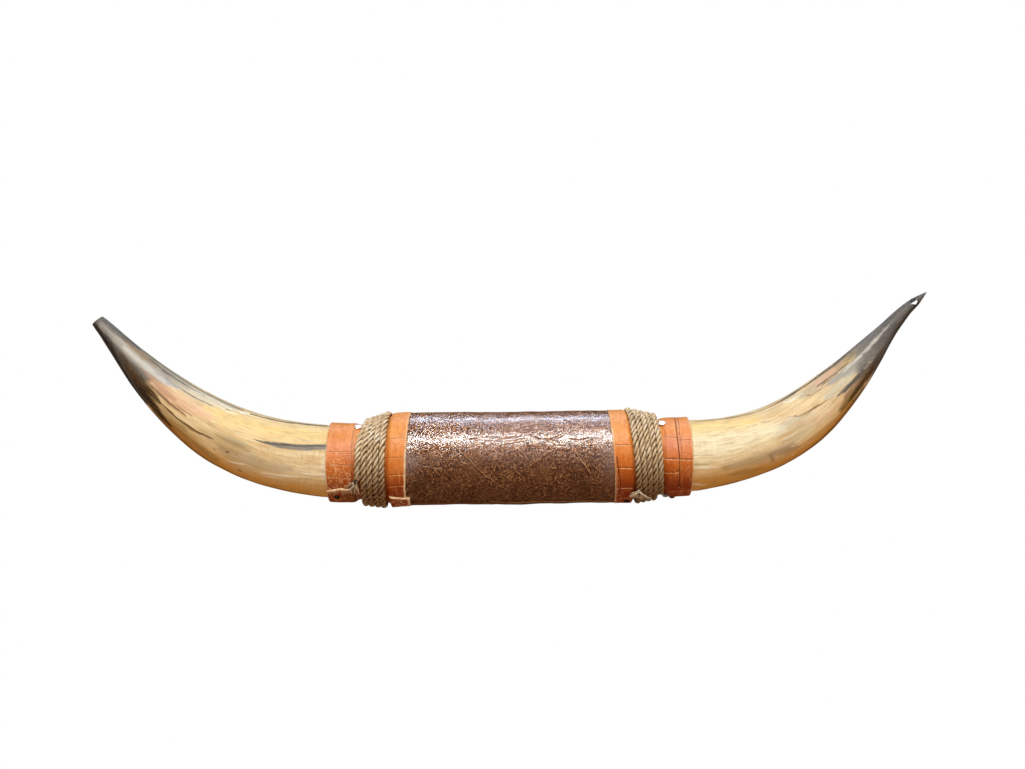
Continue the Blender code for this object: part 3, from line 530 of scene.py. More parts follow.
def smooth(stations, x):
    """The values at x of a smooth curve through the (x, value) stations."""
    knots, values = np.array(stations, float).T
    slopes = np.gradient(values, knots)
    slopes[1:-1] = (values[2:] - values[:-2]) / (knots[2:] - knots[:-2])
    x = np.clip(x, knots[0], knots[-1])
    i = np.clip(np.searchsorted(knots, x, side="right") - 1, 0, len(knots) - 2)
    width = knots[i + 1] - knots[i]
    t = (x - knots[i]) / width
    start = (1 + 2 * t) * (1 - t) ** 2
    bend = t * (1 - t) ** 2 * slopes[i] + t * t * (t - 1) * slopes[i + 1]
    return start * values[i] + (1 - start) * values[i + 1] + width * bend


def straight(stations, x):
    """The values at x of straight lines through the (x, value) stations."""
    knots, values = np.array(stations, float).T
    return np.interp(x, knots, values)


def ease(low, high, x):
    """From 0 at low to 1 at high, with soft ends."""
    t = np.clip((x - low) / (high - low), 0.0, 1.0)
    return t * t * (3 - 2 * t)


def signed(angle):
    """The angle in degrees, brought between -180 and 180."""
    return (angle + 180) % 360 - 180


def on_line(x, y=0.0):
    """Points at x along a line that runs y beside the first axis."""
    return np.stack([x, 0 * x + y, 0 * x], axis=-1)


class Noise:
    """Seeded gradient noise in space. It is smooth, and runs roughly from -1 to 1."""

    CELLS = 256

    def __init__(self, seed):
        draw = np.random.default_rng(seed)
        self.order = np.tile(draw.permutation(self.CELLS), 2)
        slopes = draw.normal(size=(self.CELLS, 3))
        self.slopes = slopes / np.linalg.norm(slopes, axis=1, keepdims=True)

    def __call__(self, points, size):
        """The noise at these points, for features of this size."""
        places = points / size
        cell = np.floor(places).astype(int)
        inside = places - cell
        blend = inside**3 * (inside * (6 * inside - 15) + 10)
        total = 0.0
        for corner in np.ndindex(2, 2, 2):
            at = (cell + corner) % self.CELLS
            index = self.order[self.order[self.order[at[..., 0]] + at[..., 1]] + at[..., 2]]
            share = np.where(corner, blend, 1 - blend).prod(axis=-1)
            total = total + share * (self.slopes[index] * (inside - corner)).sum(axis=-1)
        return 1.6 * total


class Spine:
    """The centre line of one half, from the middle of the wrap to the horn's tip."""

    PACE = 0.001

    def __init__(self, side):
        self.side = side
        self.way = side["way"]
        count = math.ceil(side["rise"][-1][0] / self.PACE) + 1
        steps = self.heading((np.arange(count) + 0.5) * self.PACE) * self.PACE
        start = np.array([[0.0, -WALL_REACH, -HANGER_RISE]])
        self.points = np.concatenate([start, start + np.cumsum(steps, axis=0)])
        self.places = np.arange(count + 1) * self.PACE

    def rise(self, s):
        """How steeply the spine climbs, in radians."""
        return np.radians(smooth(self.side["rise"], s))

    def yaw(self, s):
        """How far the spine has turned towards the viewer, in radians."""
        reach = np.maximum(s - YAW_START, 0.0) / YAW_LENGTH
        return np.radians(FORWARD_YAW) * reach**FORWARD_POWER

    def heading(self, s):
        """The direction in which the spine runs."""
        rise = self.rise(s)
        yaw = self.yaw(s)
        parts = (self.way * np.cos(yaw) * np.cos(rise), -np.sin(yaw), np.cos(yaw) * np.sin(rise))
        return np.stack(parts, axis=-1)

    def point(self, s):
        """The spine's own points at these distances."""
        return np.stack([np.interp(s, self.places, self.points[:, k]) for k in range(3)], axis=-1)

    def leather_axes(self, s):
        """The front and up directions of a leather's or rope's section."""
        tilt = np.radians(smooth(self.side["tilt"], s))
        up = np.stack([-self.way * np.sin(tilt), 0 * tilt, np.cos(tilt)], axis=-1)
        front = np.broadcast_to(np.array([0.0, -1.0, 0.0]), up.shape)
        return front, up

    def horn_axes(self, s):
        """The same for the horn, whose sections turn from the cuff's tilt to the spine's rise."""
        share = ease(HORN_START, YAW_START, s)
        base = np.radians(smooth(self.side["tilt"], HORN_START))
        tilt = base + share * (self.rise(s) - base)
        yaw = self.yaw(s)
        up = np.stack([-self.way * np.sin(tilt), 0 * tilt, np.cos(tilt)], axis=-1)
        level = (-self.way * np.sin(yaw) * np.cos(tilt), -np.cos(yaw), 0 * yaw)
        front = np.stack(level, axis=-1)
        front = front - up * np.sum(front * up, axis=-1, keepdims=True)
        return front / np.linalg.norm(front, axis=-1, keepdims=True), up

    def around(self, s, angle, radius, horn=False):
        """Points at these distances, angles and radii, which are arrays of one shape."""
        front, up = self.horn_axes(s) if horn else self.leather_axes(s)
        turn = np.radians(angle)[..., None]
        return self.point(s) + radius[..., None] * (np.cos(turn) * front + np.sin(turn) * up)


def grid_faces(rows, columns, first=0):
    """The four-sided faces of a skin over rows of points, each row joined round on itself."""
    low = np.arange(rows - 1)[:, None] * columns
    high = low + columns
    j = np.arange(columns)[None, :]
    after = (j + 1) % columns
    corners = (low + j, low + after, high + after, high + j)
    return first + np.stack(corners, axis=-1).reshape(-1, 4)


def fan_faces(ring, centre):
    """Triangles from a closed ring of indices to one centre."""
    return [(int(a), int(b), int(centre)) for a, b in zip(ring, np.roll(ring, -1))]


def volume(points, faces):
    """The signed volume inside four-sided faces."""
    a, b, c, d = (points[faces[:, k]] for k in range(4))
    return (np.cross(a, b) * c).sum() / 6 + (np.cross(a, c) * d).sum() / 6


def facing_out(points, faces):
    """The four-sided faces, all turned round if the volume inside them comes out negative."""
    return faces[:, ::-1] if volume(points, faces) < 0 else faces


def looped_faces(points, rows, columns):
    """The faces of a thick skin, whose last row of points joins on to its first."""
    last = (rows - 1) * columns
    j = np.arange(columns)
    after = (j + 1) % columns
    closing = np.stack([last + j, last + after, after, j], axis=-1)
    return facing_out(points, np.concatenate([grid_faces(rows, columns), closing]))


def with_lining(field, count, inside):
    """A field's values over the outside, then one value for each of count points inside."""
    return np.concatenate([field.ravel(), np.full(count, inside)])


def mesh_object(name, points, faces, look, values=None, vectors=None):
    """A smooth mesh in the scene, with its material and its point attributes."""
    mesh = bpy.data.meshes.new(name)
    mesh.from_pydata(points.tolist(), [], faces)
    mesh.update()
    mesh.shade_smooth()
    for key, data in (values or {}).items():
        layer = mesh.attributes.new(key, "FLOAT", "POINT")
        layer.data.foreach_set("value", np.ascontiguousarray(data, np.float32).ravel())
    for key, data in (vectors or {}).items():
        layer = mesh.attributes.new(key, "FLOAT_VECTOR", "POINT")
        layer.data.foreach_set("vector", np.ascontiguousarray(data, np.float32).ravel())
    mesh.materials.append(look)
    obj = bpy.data.objects.new(name, mesh)
    bpy.context.scene.collection.objects.link(obj)
    return obj


class Skin:
    """Points with their values and vectors, and the faces over them."""

    def __init__(self, points, values, vectors, faces):
        self.points = points
        self.values = values
        self.vectors = vectors
        self.faces = faces

    def add(self, points, copied):
        """Adds points, with the values of the copied ones, and returns their indices."""
        first = len(self.points)
        self.points = np.concatenate([self.points, points])
        for fields in (self.values, self.vectors):
            for key, field in fields.items():
                fields[key] = np.concatenate([field, field[copied]])
        return np.arange(first, len(self.points))

    def join(self, ring, onward):
        """Adds the faces from one closed ring of points to the next."""
        sides = (ring, np.roll(ring, -1), np.roll(onward, -1), onward)
        self.faces += np.stack(sides, axis=-1).tolist()


def stroke(x, y, points, softness, strength=1.0):
    """How much a stroke through (x, y, half width) points covers each place, from 0 to strength."""
    cover = np.zeros(np.broadcast(x, y).shape)
    for (x0, y0, w0), (x1, y1, w1) in zip(points, points[1:]):
        along = np.array([x1 - x0, y1 - y0])
        length = max(along @ along, 1e-12)
        t = np.clip(((x - x0) * along[0] + (y - y0) * along[1]) / length, 0.0, 1.0)
        off = np.hypot(x - x0 - t * along[0], y - y0 - t * along[1])
        width = w0 + t * (w1 - w0)
        cover = np.maximum(cover, 1 - ease(width * (1 - softness), width * (1 + softness), off))
    return strength * cover


class Graph:
    """A node tree, put together from small expressions. Sockets take a value or a socket."""

    def __init__(self, tree):
        self.tree = tree

    def fill(self, socket, value):
        """Links the value into the socket if it is one itself, and else sets it there."""
        if isinstance(value, bpy.types.NodeSocket):
            self.tree.links.new(value, socket)
        elif isinstance(value, tuple) and socket.type == "RGBA":
            socket.default_value = (*value, 1.0)
        else:
            socket.default_value = value

    def node(self, kind, inputs, **settings):
        """A new shader node with these inputs and settings."""
        made = self.tree.nodes.new("ShaderNode" + kind)
        for key, value in settings.items():
            setattr(made, key, value)
        for key, value in inputs.items():
            self.fill(made.inputs[key], value)
        return made

    def ramp(self, factor, *stops):
        """A colour ramp through (position, colour) stops."""
        made = self.node("ValToRGB", {"Fac": factor})
        ramp = made.color_ramp
        while len(ramp.elements) < len(stops):
            ramp.elements.new(0.5)
        for element, (position, value) in zip(ramp.elements, stops):
            element.position = position
            element.color = (*value, 1.0)
        return made.outputs["Color"]

    def span(self, factor, low, high, to_low=0.0, to_high=1.0):
        """The factor's stretch from low to high, moved to another stretch."""
        inputs = {"Value": factor, "From Min": low, "From Max": high, "To Min": to_low, "To Max": to_high}
        return self.node("MapRange", inputs).outputs["Result"]


class Look(Graph):
    """A material, as a node tree that ends in one shader."""

    def __init__(self, name):
        self.material = bpy.data.materials.new(name)
        self.material.use_nodes = True
        super().__init__(self.material.node_tree)
        self.shader = self.tree.nodes["Principled BSDF"]

    def set(self, **inputs):
        """Fills the shader's inputs, named in small letters with underscores."""
        for key, value in inputs.items():
            self.fill(self.shader.inputs[key.replace("_", " ").title().replace("Ior", "IOR")], value)

    def mask(self, name):
        """A point value of the mesh."""
        return self.node("Attribute", {}, attribute_name=name).outputs["Fac"]

    def place(self, name):
        """A point vector of the mesh."""
        return self.node("Attribute", {}, attribute_name=name).outputs["Vector"]

    def object_place(self):
        """The place on the piece itself."""
        return self.node("TexCoord", {}).outputs["Object"]

    def stretch(self, where, *scale):
        """The place, with its three axes scaled."""
        return self.node("Mapping", {"Vector": where, "Scale": scale}).outputs["Vector"]

    def noise(self, where, size, detail=3.0, roughness=0.6, distortion=0.0):
        """Noise whose features are about this many metres across."""
        inputs = {"Vector": where, "Scale": 0.5 / size, "Detail": detail, "Roughness": roughness}
        return self.node("TexNoise", {**inputs, "Distortion": distortion}).outputs["Fac"]

    def ridges(self, where, size, width=0.09, distortion=0.6):
        """Thin winding lines, 1 along their crests, from where a noise crosses its middle."""
        level = self.noise(where, size, 1.0, 0.5, distortion)
        off = self.math("ABSOLUTE", self.math("SUBTRACT", level, 0.5))
        return self.span(off, width, 0.0)

    def math(self, operation, a, b=0.0):
        """The result of an operation on one or two values."""
        made = self.node("Math", {0: a, 1: b}, operation=operation)
        return made.outputs["Value"]

    def mix(self, factor, a, b, blend="MIX"):
        """Colour a under colour b, which is as strong as the factor."""
        made = self.node("Mix", {}, data_type="RGBA", blend_type=blend)
        self.fill(made.inputs[0], factor)
        self.fill(made.inputs[6], a)
        self.fill(made.inputs[7], b)
        return made.outputs[2]

    def coats(self, base, *coats):
        """The base colour under coats of (factor, display colour), one over the other."""
        for factor, tint in coats:
            base = self.mix(factor, base, colour(*tint))
        return base

    def bump(self, height, depth, normal=None, strength=1.0):
        """A bump of this depth in metres, on top of another one if given."""
        inputs = {"Height": height, "Distance": depth, "Strength": strength}
        if normal is not None:
            inputs["Normal"] = normal
        return self.node("Bump", inputs).outputs["Normal"]


def horn_look():
    """Polished horn: cream with short flecks along its grain, faint growth rings and painted marks."""
    look = Look("horn")
    grain = look.place("grain")
    cover = look.mask("cover")
    flecks = look.stretch(grain, 2.6, 1.0, 1.0)
    broad = look.noise(grain, 0.0060, 4)
    thread = look.noise(flecks, 0.0030, 4)
    fine = look.noise(flecks, 0.0011, 4, 0.65)
    hair = look.noise(grain, 0.0005)
    rings = look.noise(look.stretch(grain, 25.0, 0.22, 0.22), 0.0016)
    cloud = look.noise(look.object_place(), 0.017, 4)

    streaks = look.ramp(
        broad,
        (0.30, colour(214, 180, 128)), (0.46, colour(234, 204, 152)),
        (0.58, colour(244, 220, 170)), (0.74, colour(252, 236, 196)),
    )
    warm = look.mix(look.span(cloud, 0.36, 0.64), colour(250, 226, 176), colour(232, 196, 138))
    base = look.coats(
        look.mix(0.5, streaks, warm),
        (look.span(thread, 0.52, 0.70, 0, 0.40), (190, 152, 104)),
        (look.span(thread, 0.46, 0.30, 0, 0.40), (255, 244, 214)),
    )
    marked = look.math("MULTIPLY", cover, look.span(fine, 0.34, 0.58, 0.80, 1.6))
    base = look.mix(marked, base, look.node("Attribute", {}, attribute_name="tint").outputs["Color"])
    shade = look.ramp(fine, (0.34, (0.62, 0.58, 0.52)), (0.50, (0.93, 0.92, 0.91)), (0.62, (1.0, 1.0, 1.0)))
    base = look.mix(0.55, base, shade, "MULTIPLY")
    lit = look.math("MULTIPLY", look.span(hair, 0.56, 0.70), look.span(cover, 0.4, 1.0, 0.40, 0.14))
    worn = look.math("MULTIPLY", look.mask("rings"), look.span(rings, 0.52, 0.66, 0, 0.45))
    base = look.coats(base, (lit, (255, 248, 228)), (worn, (196, 164, 116)))
    look.set(base_color=base, specular_ior_level=0.06)

    stained = look.span(cover, 0.5, 1.0, 0, 0.10)
    look.set(roughness=look.math("ADD", look.span(fine, 0.35, 0.65, 0.34, 0.48), stained))
    scratches = look.bump(hair, 0.00005, strength=0.4)
    look.set(normal=look.bump(fine, 0.00014, scratches, 0.6))
    return look.material


def wrap_look():
    """Dark brown leather: fine crinkles worn pale on their crests, glossy where hands rub it, with painted
    shade on its lower side and back and a painted grey sheen in patches above.
    """
    look = Look("brown_leather")
    where = look.object_place()
    polish = look.mask("polish")
    patches = look.noise(where, 0.016, 3, 0.55)
    fine = look.ridges(where, 0.0012)
    broad = look.ridges(where, 0.0027, 0.06, 1.0)
    grit = look.noise(where, 0.0006)

    height = look.math("MULTIPLY", look.mask("relief"), 0.60)
    for layer, share in ((fine, 0.46), (broad, 0.26), (look.math("SUBTRACT", grit, 0.5), 0.9)):
        height = look.math("ADD", height, look.math("MULTIPLY", layer, share))
    base = look.ramp(
        height,
        (0.10, colour(20, 8, 0)), (0.34, colour(88, 38, 2)),
        (0.56, colour(148, 80, 28)), (0.86, colour(236, 184, 126)),
    )
    grey = look.math("MULTIPLY", look.mask("grey"), look.span(grit, 0.46, 0.58, 0.1, 1.0))
    base = look.coats(
        base,
        (look.span(patches, 0.48, 0.66, 0, 0.45), (150, 98, 52)),
        (look.span(patches, 0.42, 0.30, 0, 0.45), (84, 56, 22)),
        # Painted shade, darker where the leather is least polished: on its lower side and back
        (look.span(polish, 0.9, 0.0, 0, 0.44), (58, 20, 0)),
        # Grey at the ends, and a painted grey sheen in patches over the upper half
        (grey, (176, 160, 158)),
        (look.mask("raw"), (176, 132, 92)),
    )
    look.set(base_color=base, specular_ior_level=0.45)
    look.set(roughness=look.span(look.math("SUBTRACT", polish, grit), -1.1, 0.55, 0.62, 0.13))
    small = look.bump(grit, 0.00004, strength=0.8)
    look.set(normal=look.bump(look.math("ADD", fine, broad), 0.00009, small, 1.0))
    return look.material


def cuff_look():
    """Orange-tan leather with a satin face, dark pressed grooves with painted highlights on their lips, a
    pale raw edge, a painted lighter top and painted shade below.
    """
    look = Look("orange_leather")
    where = look.object_place()
    tone = look.noise(where, 0.012, 3, 0.5)
    mottle = look.noise(where, 0.0022, 4)
    pores = look.noise(where, 0.0006)
    streaks = look.noise(look.stretch(where, 1.0, 0.16, 0.16), 0.0014)
    crackle = look.ridges(where, 0.0030, 0.035, 0.8)
    cracked = look.math("MULTIPLY", crackle, look.mask("cracked"))

    base = look.ramp(
        tone, (0.3, colour(212, 112, 42)), (0.5, colour(228, 132, 56)), (0.7, colour(240, 150, 74))
    )
    base = look.coats(
        base,
        # Painted light: a lighter, yellower top
        (look.mask("sunned"), (252, 172, 88)),
        (look.mask("rosy"), (230, 140, 100)),
        # Painted shade: darker towards the bottom
        (look.mask("rust"), (138, 52, 6)),
        (look.span(mottle, 0.46, 0.70, 0, 0.35), (190, 86, 28)),
        (look.span(streaks, 0.55, 0.72, 0, 0.35), (250, 186, 124)),
        (look.span(streaks, 0.46, 0.30, 0, 0.35), (168, 76, 26)),
        (look.math("MULTIPLY", cracked, 0.7), (255, 212, 164)),
        # Painted shade below the flap's torn edge
        (look.mask("olive"), (124, 82, 36)),
        (look.span(look.mask("groove"), 0.0, 1.0, 0, 0.9), (84, 30, 8)),
        # Painted highlight on the raised lip beside each groove
        (look.span(look.mask("lip"), 0.0, 0.9, 0, 0.9), (255, 190, 128)),
    )
    fibre = look.mix(look.span(mottle, 0.4, 0.6), colour(226, 182, 130), colour(252, 232, 198))
    base = look.mix(look.mask("raw"), base, fibre)
    look.set(base_color=base, specular_ior_level=0.09)
    look.set(roughness=look.span(mottle, 0.3, 0.7, 0.40, 0.56))
    small = look.bump(pores, 0.00012, strength=0.6)
    wrinkled = look.bump(streaks, 0.00028, small, 0.8)
    look.set(normal=look.bump(cracked, 0.0002, wrinkled, 0.8))
    return look.material


def jute_look():
    """Dry twisted fibre: grey-tan, with painted shade in its crevices and towards its underside, and pale
    loose hairs.
    """
    look = Look("jute")
    fibres = look.noise(look.place("thread"), 0.00035)
    tone = look.noise(look.object_place(), 0.006, 3, 0.5)
    base = look.ramp(
        fibres, (0.30, colour(176, 140, 94)), (0.48, colour(228, 199, 155)), (0.68, colour(252, 232, 196))
    )
    base = look.coats(
        base,
        (look.span(tone, 0.5, 0.7, 0, 0.55), (176, 142, 98)),
        (look.span(tone, 0.48, 0.3, 0, 0.50), (255, 246, 226)),
        # Painted shade, darker towards the rope's underside; on the frayed yarns the same value is a random
        # darker tone
        (look.span(look.mask("dusk"), 0, 1, 0, 0.9), (130, 94, 54)),
        # Painted shade in the crevices between strands and turns, and at the roots of the frayed yarns
        (look.span(look.mask("depth"), 0.80, 0.2, 0, 0.95), (70, 44, 22)),
        (look.mask("loose"), (252, 236, 210)),
    )
    look.set(base_color=base, roughness=0.66, specular_ior_level=0.12)
    look.set(normal=look.bump(fibres, 0.0003, strength=0.8))
    return look.material


def tack_look(name, bright):
    """A tack's worn metal: bright nickel, darker purple-grey on the tacks below the middle, or dark iron.
    """
    look = Look(name)
    wear = look.noise(look.object_place(), 0.0016, 4)
    if bright:
        base = look.ramp(wear, (0.35, colour(206, 198, 188)), (0.55, colour(250, 247, 240)))
        base = look.mix(look.mask("tarnish"), base, colour(120, 104, 112))
        look.set(base_color=base, metallic=0.5, roughness=look.span(wear, 0.3, 0.7, 0.40, 0.24))
    else:
        base = look.ramp(wear, (0.35, colour(30, 24, 22)), (0.65, colour(84, 70, 62)))
        look.set(base_color=base, metallic=0.8, roughness=look.span(wear, 0.3, 0.7, 0.55, 0.35))
    look.set(normal=look.bump(wear, 0.0003, strength=0.6))
    return look.material


def steel_look():
    """Zinc-plated steel, brushed along its length and dulled in patches."""
    look = Look("steel")
    where = look.object_place()
    brush = look.noise(look.stretch(where, 0.05, 1.0, 1.0), 0.0004)
    dull = look.noise(where, 0.006)
    base = look.mix(look.span(dull, 0.35, 0.7), colour(176, 178, 180), colour(214, 214, 210))
    look.set(base_color=base, metallic=1.0, roughness=look.span(brush, 0.3, 0.7, 0.28, 0.46))
    look.set(normal=look.bump(brush, 0.0001, strength=0.5))
    return look.material


def wood_look():
    """Turned softwood with its grain along the core."""
    look = Look("wood")
    stretched = look.stretch(look.object_place(), 0.06, 1.0, 1.0)
    rings = look.noise(stretched, 0.006, 4, 0.6, 1.0)
    pores = look.noise(stretched, 0.0008)
    base = look.ramp(
        rings, (0.3, colour(150, 104, 62)), (0.5, colour(190, 146, 96)), (0.7, colour(212, 174, 124))
    )
    base = look.coats(base, (look.span(pores, 0.6, 0.75, 0, 0.4), (120, 80, 46)))
    look.set(base_color=base, roughness=look.span(rings, 0.3, 0.7, 0.7, 0.55))
    look.set(normal=look.bump(pores, 0.0003, strength=0.6))
    return look.material


def paint_horn(side, s, angle, grain, noise):
    """Each place's tint and how much of it covers the plain horn, from the tip's grey and the marks."""
    name = side["name"]
    radius_mm = smooth(side["radius"], s) / MM
    flecked = grain * np.array([FLECK, 1.0, 1.0])
    along = s / MM + 3.0 * noise(grain, 5 * MM) + 2.0 * noise(flecked + 1.5, 2.6 * MM)
    across = np.radians(angle) * radius_mm + 0.6 * noise(grain + 1.0, 3 * MM)
    across = across + 0.9 * noise(flecked, 2.4 * MM) + 0.5 * noise(flecked + 0.7, 1.1 * MM)
    ragged = 0.012 * noise(grain + 2.0, 5 * MM) + 0.008 * noise(grain + 3.0, 2.2 * MM)
    past = s + ragged - straight(TIP_ONSET[name], angle)
    cover = ease(0.0, TIP_FADE[name], past)
    tint = np.array(colour(*TINTS[TIP_TINT[name]])) * cover[..., None]
    raised = np.zeros(s.shape)
    for key, softness, strength, points in HORN_MARKS[name]:
        drawn = [(p[0] / MM, np.radians(p[1]) * smooth(side["radius"], p[0]) / MM, p[2]) for p in points]
        mark = stroke(along, across, drawn, softness, strength)
        tint = tint * (1 - mark[..., None]) + np.array(colour(*TINTS[key])) * mark[..., None]
        cover = cover * (1 - mark) + mark
        raised += mark * {"flake": 0.45, "rust": -0.40}.get(key, 0.0)
    return tint / np.maximum(cover, 1e-6)[..., None], cover, raised


def horn_skin(spine, angles, noise):
    """A horn's outside, with its painted marks, from its base to its tip's edge."""
    side = spine.side
    name = side["name"]
    base = side["radius"][0][0]
    tip = side["radius"][-1][0]
    places = base + (tip - base) * np.linspace(0, 1, HORN_ROWS) ** HORN_ROW_POWER
    s, angle = np.meshgrid(places, angles, indexing="ij")
    facing = signed(angle)
    turn = np.radians(angle)
    radius = smooth(side["radius"], s)
    reach = GRAIN_RADIUS * np.sqrt(np.clip(radius / 0.034, 0.12, 1.0))
    grain = np.stack([s * GRAIN, reach * np.cos(turn), reach * np.sin(turn)], axis=-1)
    tint, cover, raised = paint_horn(side, s, facing, grain, noise)
    thin = np.clip(radius / 0.03, 0.15, 1.0)
    ripple = 0.30 * noise(grain + 5.0, 7 * MM) + 0.14 * noise(grain + 6.0, 2.6 * MM)
    lumps = 0.35 * noise(spine.around(s, angle, radius, horn=True), 28 * MM)
    rings = 0.14 * noise(on_line(s) + 7.0, 3.6 * MM) * ease(0.31, 0.22, s)
    radius = radius + MM * thin * (ripple + lumps + rings + raised)
    slim = TIP_SLIM[name] * MM * ease(0.36, 0.43, s) * ease(0.555, 0.53, s)
    radius = radius - slim * ease(-5, -45, facing)
    start, *bend = TIP_BEND[name]
    bent = np.square(np.clip((s - start) / (tip - start), 0, 1))
    points = spine.around(s, angle, radius, horn=True) + MM * np.array(bend) * bent[..., None]
    values = {"cover": cover.ravel(), "rings": (ease(0.33, 0.23, s) * (1 - cover)).ravel()}
    vectors = {"grain": grain.reshape(-1, 3), "tint": tint.reshape(-1, 3)}
    return Skin(points.reshape(-1, 3), values, vectors, grid_faces(HORN_ROWS, len(angles)).tolist())


def close_tip(skin, spine, ring):
    """Closes the horn's tip beyond its last ring with a slightly dished, rounded face."""
    outline = skin.points[ring]
    centre = outline.mean(axis=0)
    ahead = spine.heading(np.array([spine.side["radius"][-1][0]]))[0]
    last = ring
    for share, lift in TIP_CAP:
        inner = centre + share * (outline - centre) + lift * min(1.0, share + 0.2) * ahead
        fresh = skin.add(inner, ring)
        skin.join(last, fresh)
        last = fresh
    middle = skin.add([centre + 0.0001 * ahead], ring[:1])
    skin.faces += fan_faces(last, middle[0])


def dig_socket(skin, spine, angles):
    """Runs the horn's base in to its socket's mouth, and the socket up to its flat end."""
    base = spine.side["radius"][0][0]
    outer = np.arange(len(angles))
    rings = []
    for place, reach in ((base, SOCKET_MOUTH), (PLUG_END, SOCKET_END)):
        ring = spine.around(np.full(len(angles), place), angles, np.full(len(angles), reach))
        rings.append(skin.add(ring, outer))
    mouth, end = rings
    skin.faces += np.stack([outer, mouth, np.roll(mouth, -1), np.roll(outer, -1)], axis=-1).tolist()
    skin.faces += [face[::-1] for face in grid_faces(2, len(angles), mouth[0]).tolist()][::-1]
    centre = skin.add(spine.point(np.array([PLUG_END])), outer[:1])
    skin.faces += fan_faces(end, centre[0])


def make_horn(spine, look, noise):
    """A horn with its socket, a gently scraped outside, and its pointed or sawn-off tip."""
    angles = np.concatenate([np.arange(*HORN_FRONT), np.arange(*HORN_BACK)])
    skin = horn_skin(spine, angles, noise)
    count = len(skin.points)
    close_tip(skin, spine, np.arange(count - len(angles), count))
    dig_socket(skin, spine, angles)
    name = PREFIX + "horn_" + spine.side["name"]
    return mesh_object(name, skin.points, skin.faces, look, skin.values, skin.vectors)


def chip_cutter(spine, place):
    """A prism through the horn with the chip's outline."""
    shape = [(x, y, z) for z in (-CHIP_CUT / 2, CHIP_CUT / 2) for x, y in CHIP_OUTLINE]
    count = len(CHIP_OUTLINE)
    sides = [(k, (k + 1) % count, count + (k + 1) % count, count + k) for k in range(count)]
    mesh = bpy.data.meshes.new("chip")
    mesh.from_pydata(shape, [], sides + [tuple(range(count))[::-1], tuple(range(count, 2 * count))])
    cutter = bpy.data.objects.new("chip", mesh)
    bpy.context.scene.collection.objects.link(cutter)
    rise = float(spine.rise(np.array(CHIP_PLACE)))
    lying = Matrix.Rotation(-rise, 4, "Y") @ Matrix.Rotation(math.radians(90), 4, "X")
    turned = Matrix.Rotation(math.radians(-CHIP_TURN), 4, "Z") @ lying
    cutter.matrix_world = Matrix.Translation(place) @ turned
    return cutter


def chip_tip(horn, spine):
    """Opens the split near the right horn's tip, right through from front to back, and darkens it."""
    place = Vector(spine.point(np.array(CHIP_PLACE))) + Vector(CHIP_SHIFT)
    cutter = chip_cutter(spine, place)
    cut = horn.modifiers.new("chip", "BOOLEAN")
    cut.operation = "DIFFERENCE"
    cut.object = cutter
    bpy.context.view_layer.update()
    graph = bpy.context.evaluated_depsgraph_get()
    mesh = bpy.data.meshes.new_from_object(horn.evaluated_get(graph))
    horn.modifiers.clear()
    horn.data = mesh
    cover = mesh.attributes["cover"].data
    tint = mesh.attributes["tint"].data
    for index, vertex in enumerate(mesh.vertices):
        if (vertex.co - place).length < CHIP_REACH:
            cover[index].value = 1.0
            tint[index].vector = colour(*TINTS["pitch"])
    bpy.data.objects.remove(cutter, do_unlink=True)


def columns_with_lap(lap, fine, coarse):
    """Angles round a leather from its lap's edge: close together in front, wider apart behind."""
    front = np.arange(lap + fine, BACK_FROM, fine)
    back = np.arange(BACK_FROM, 360 + lap - LAP_UNDER, coarse)
    under = np.arange(360 + lap - LAP_UNDER, 360 + lap - 1.6, fine)
    step = 360 + lap + np.array([-1.3, -0.9, -0.5, -0.22, -0.06])
    return np.concatenate([[lap + 0.06, lap + 0.25], front, back, under, step])


def lap_share(angle, lap):
    """How much of a lap's height stands at this angle, counted up from the lap's edge."""
    below = lap + 360 - angle
    rounded = np.sqrt(np.clip(1 - (1 - np.clip(below / 1.2, 0, 1)) ** 2, 0, 1))
    return np.where(below > 0, rounded, 0.0) * ease(70, 30, below)


def press(x, y, relief, px, py, lift):
    """Adds a raised lip with a dark line along its lower side, through px, py, all in mm."""
    level = (x > px.min() - PRESS_REACH) & (x < px.max() + PRESS_REACH)
    near = level & (y > py.min() - PRESS_REACH) & (y < py.max() + PRESS_REACH)
    if not near.any():
        return
    gap = np.hypot(x[near][:, None] - px, y[near][:, None] - py)
    nearest = gap.argmin(axis=1)
    off = gap[np.arange(len(nearest)), nearest]
    way = np.array([np.gradient(px), np.gradient(py)])
    way /= np.hypot(*way) + 1e-9
    flip = np.where(way[0] < 0, -1.0, 1.0)
    side = way[0][nearest] * (y[near] - py[nearest]) - way[1][nearest] * (x[near] - px[nearest])
    side = side * flip[nearest]
    fade = np.sin(np.pi * (nearest + 0.5) / len(px)) ** 0.4
    beside = np.where(off < PRESS_REACH, side, PRESS_REACH)
    relief[near] += lift * fade * np.exp(-((beside / 0.65) ** 2)) * (off < 2.4)
    relief[near] -= 0.8 * lift * fade * np.exp(-(((beside + 1.35) / 0.65) ** 2)) * (off < 2.6)


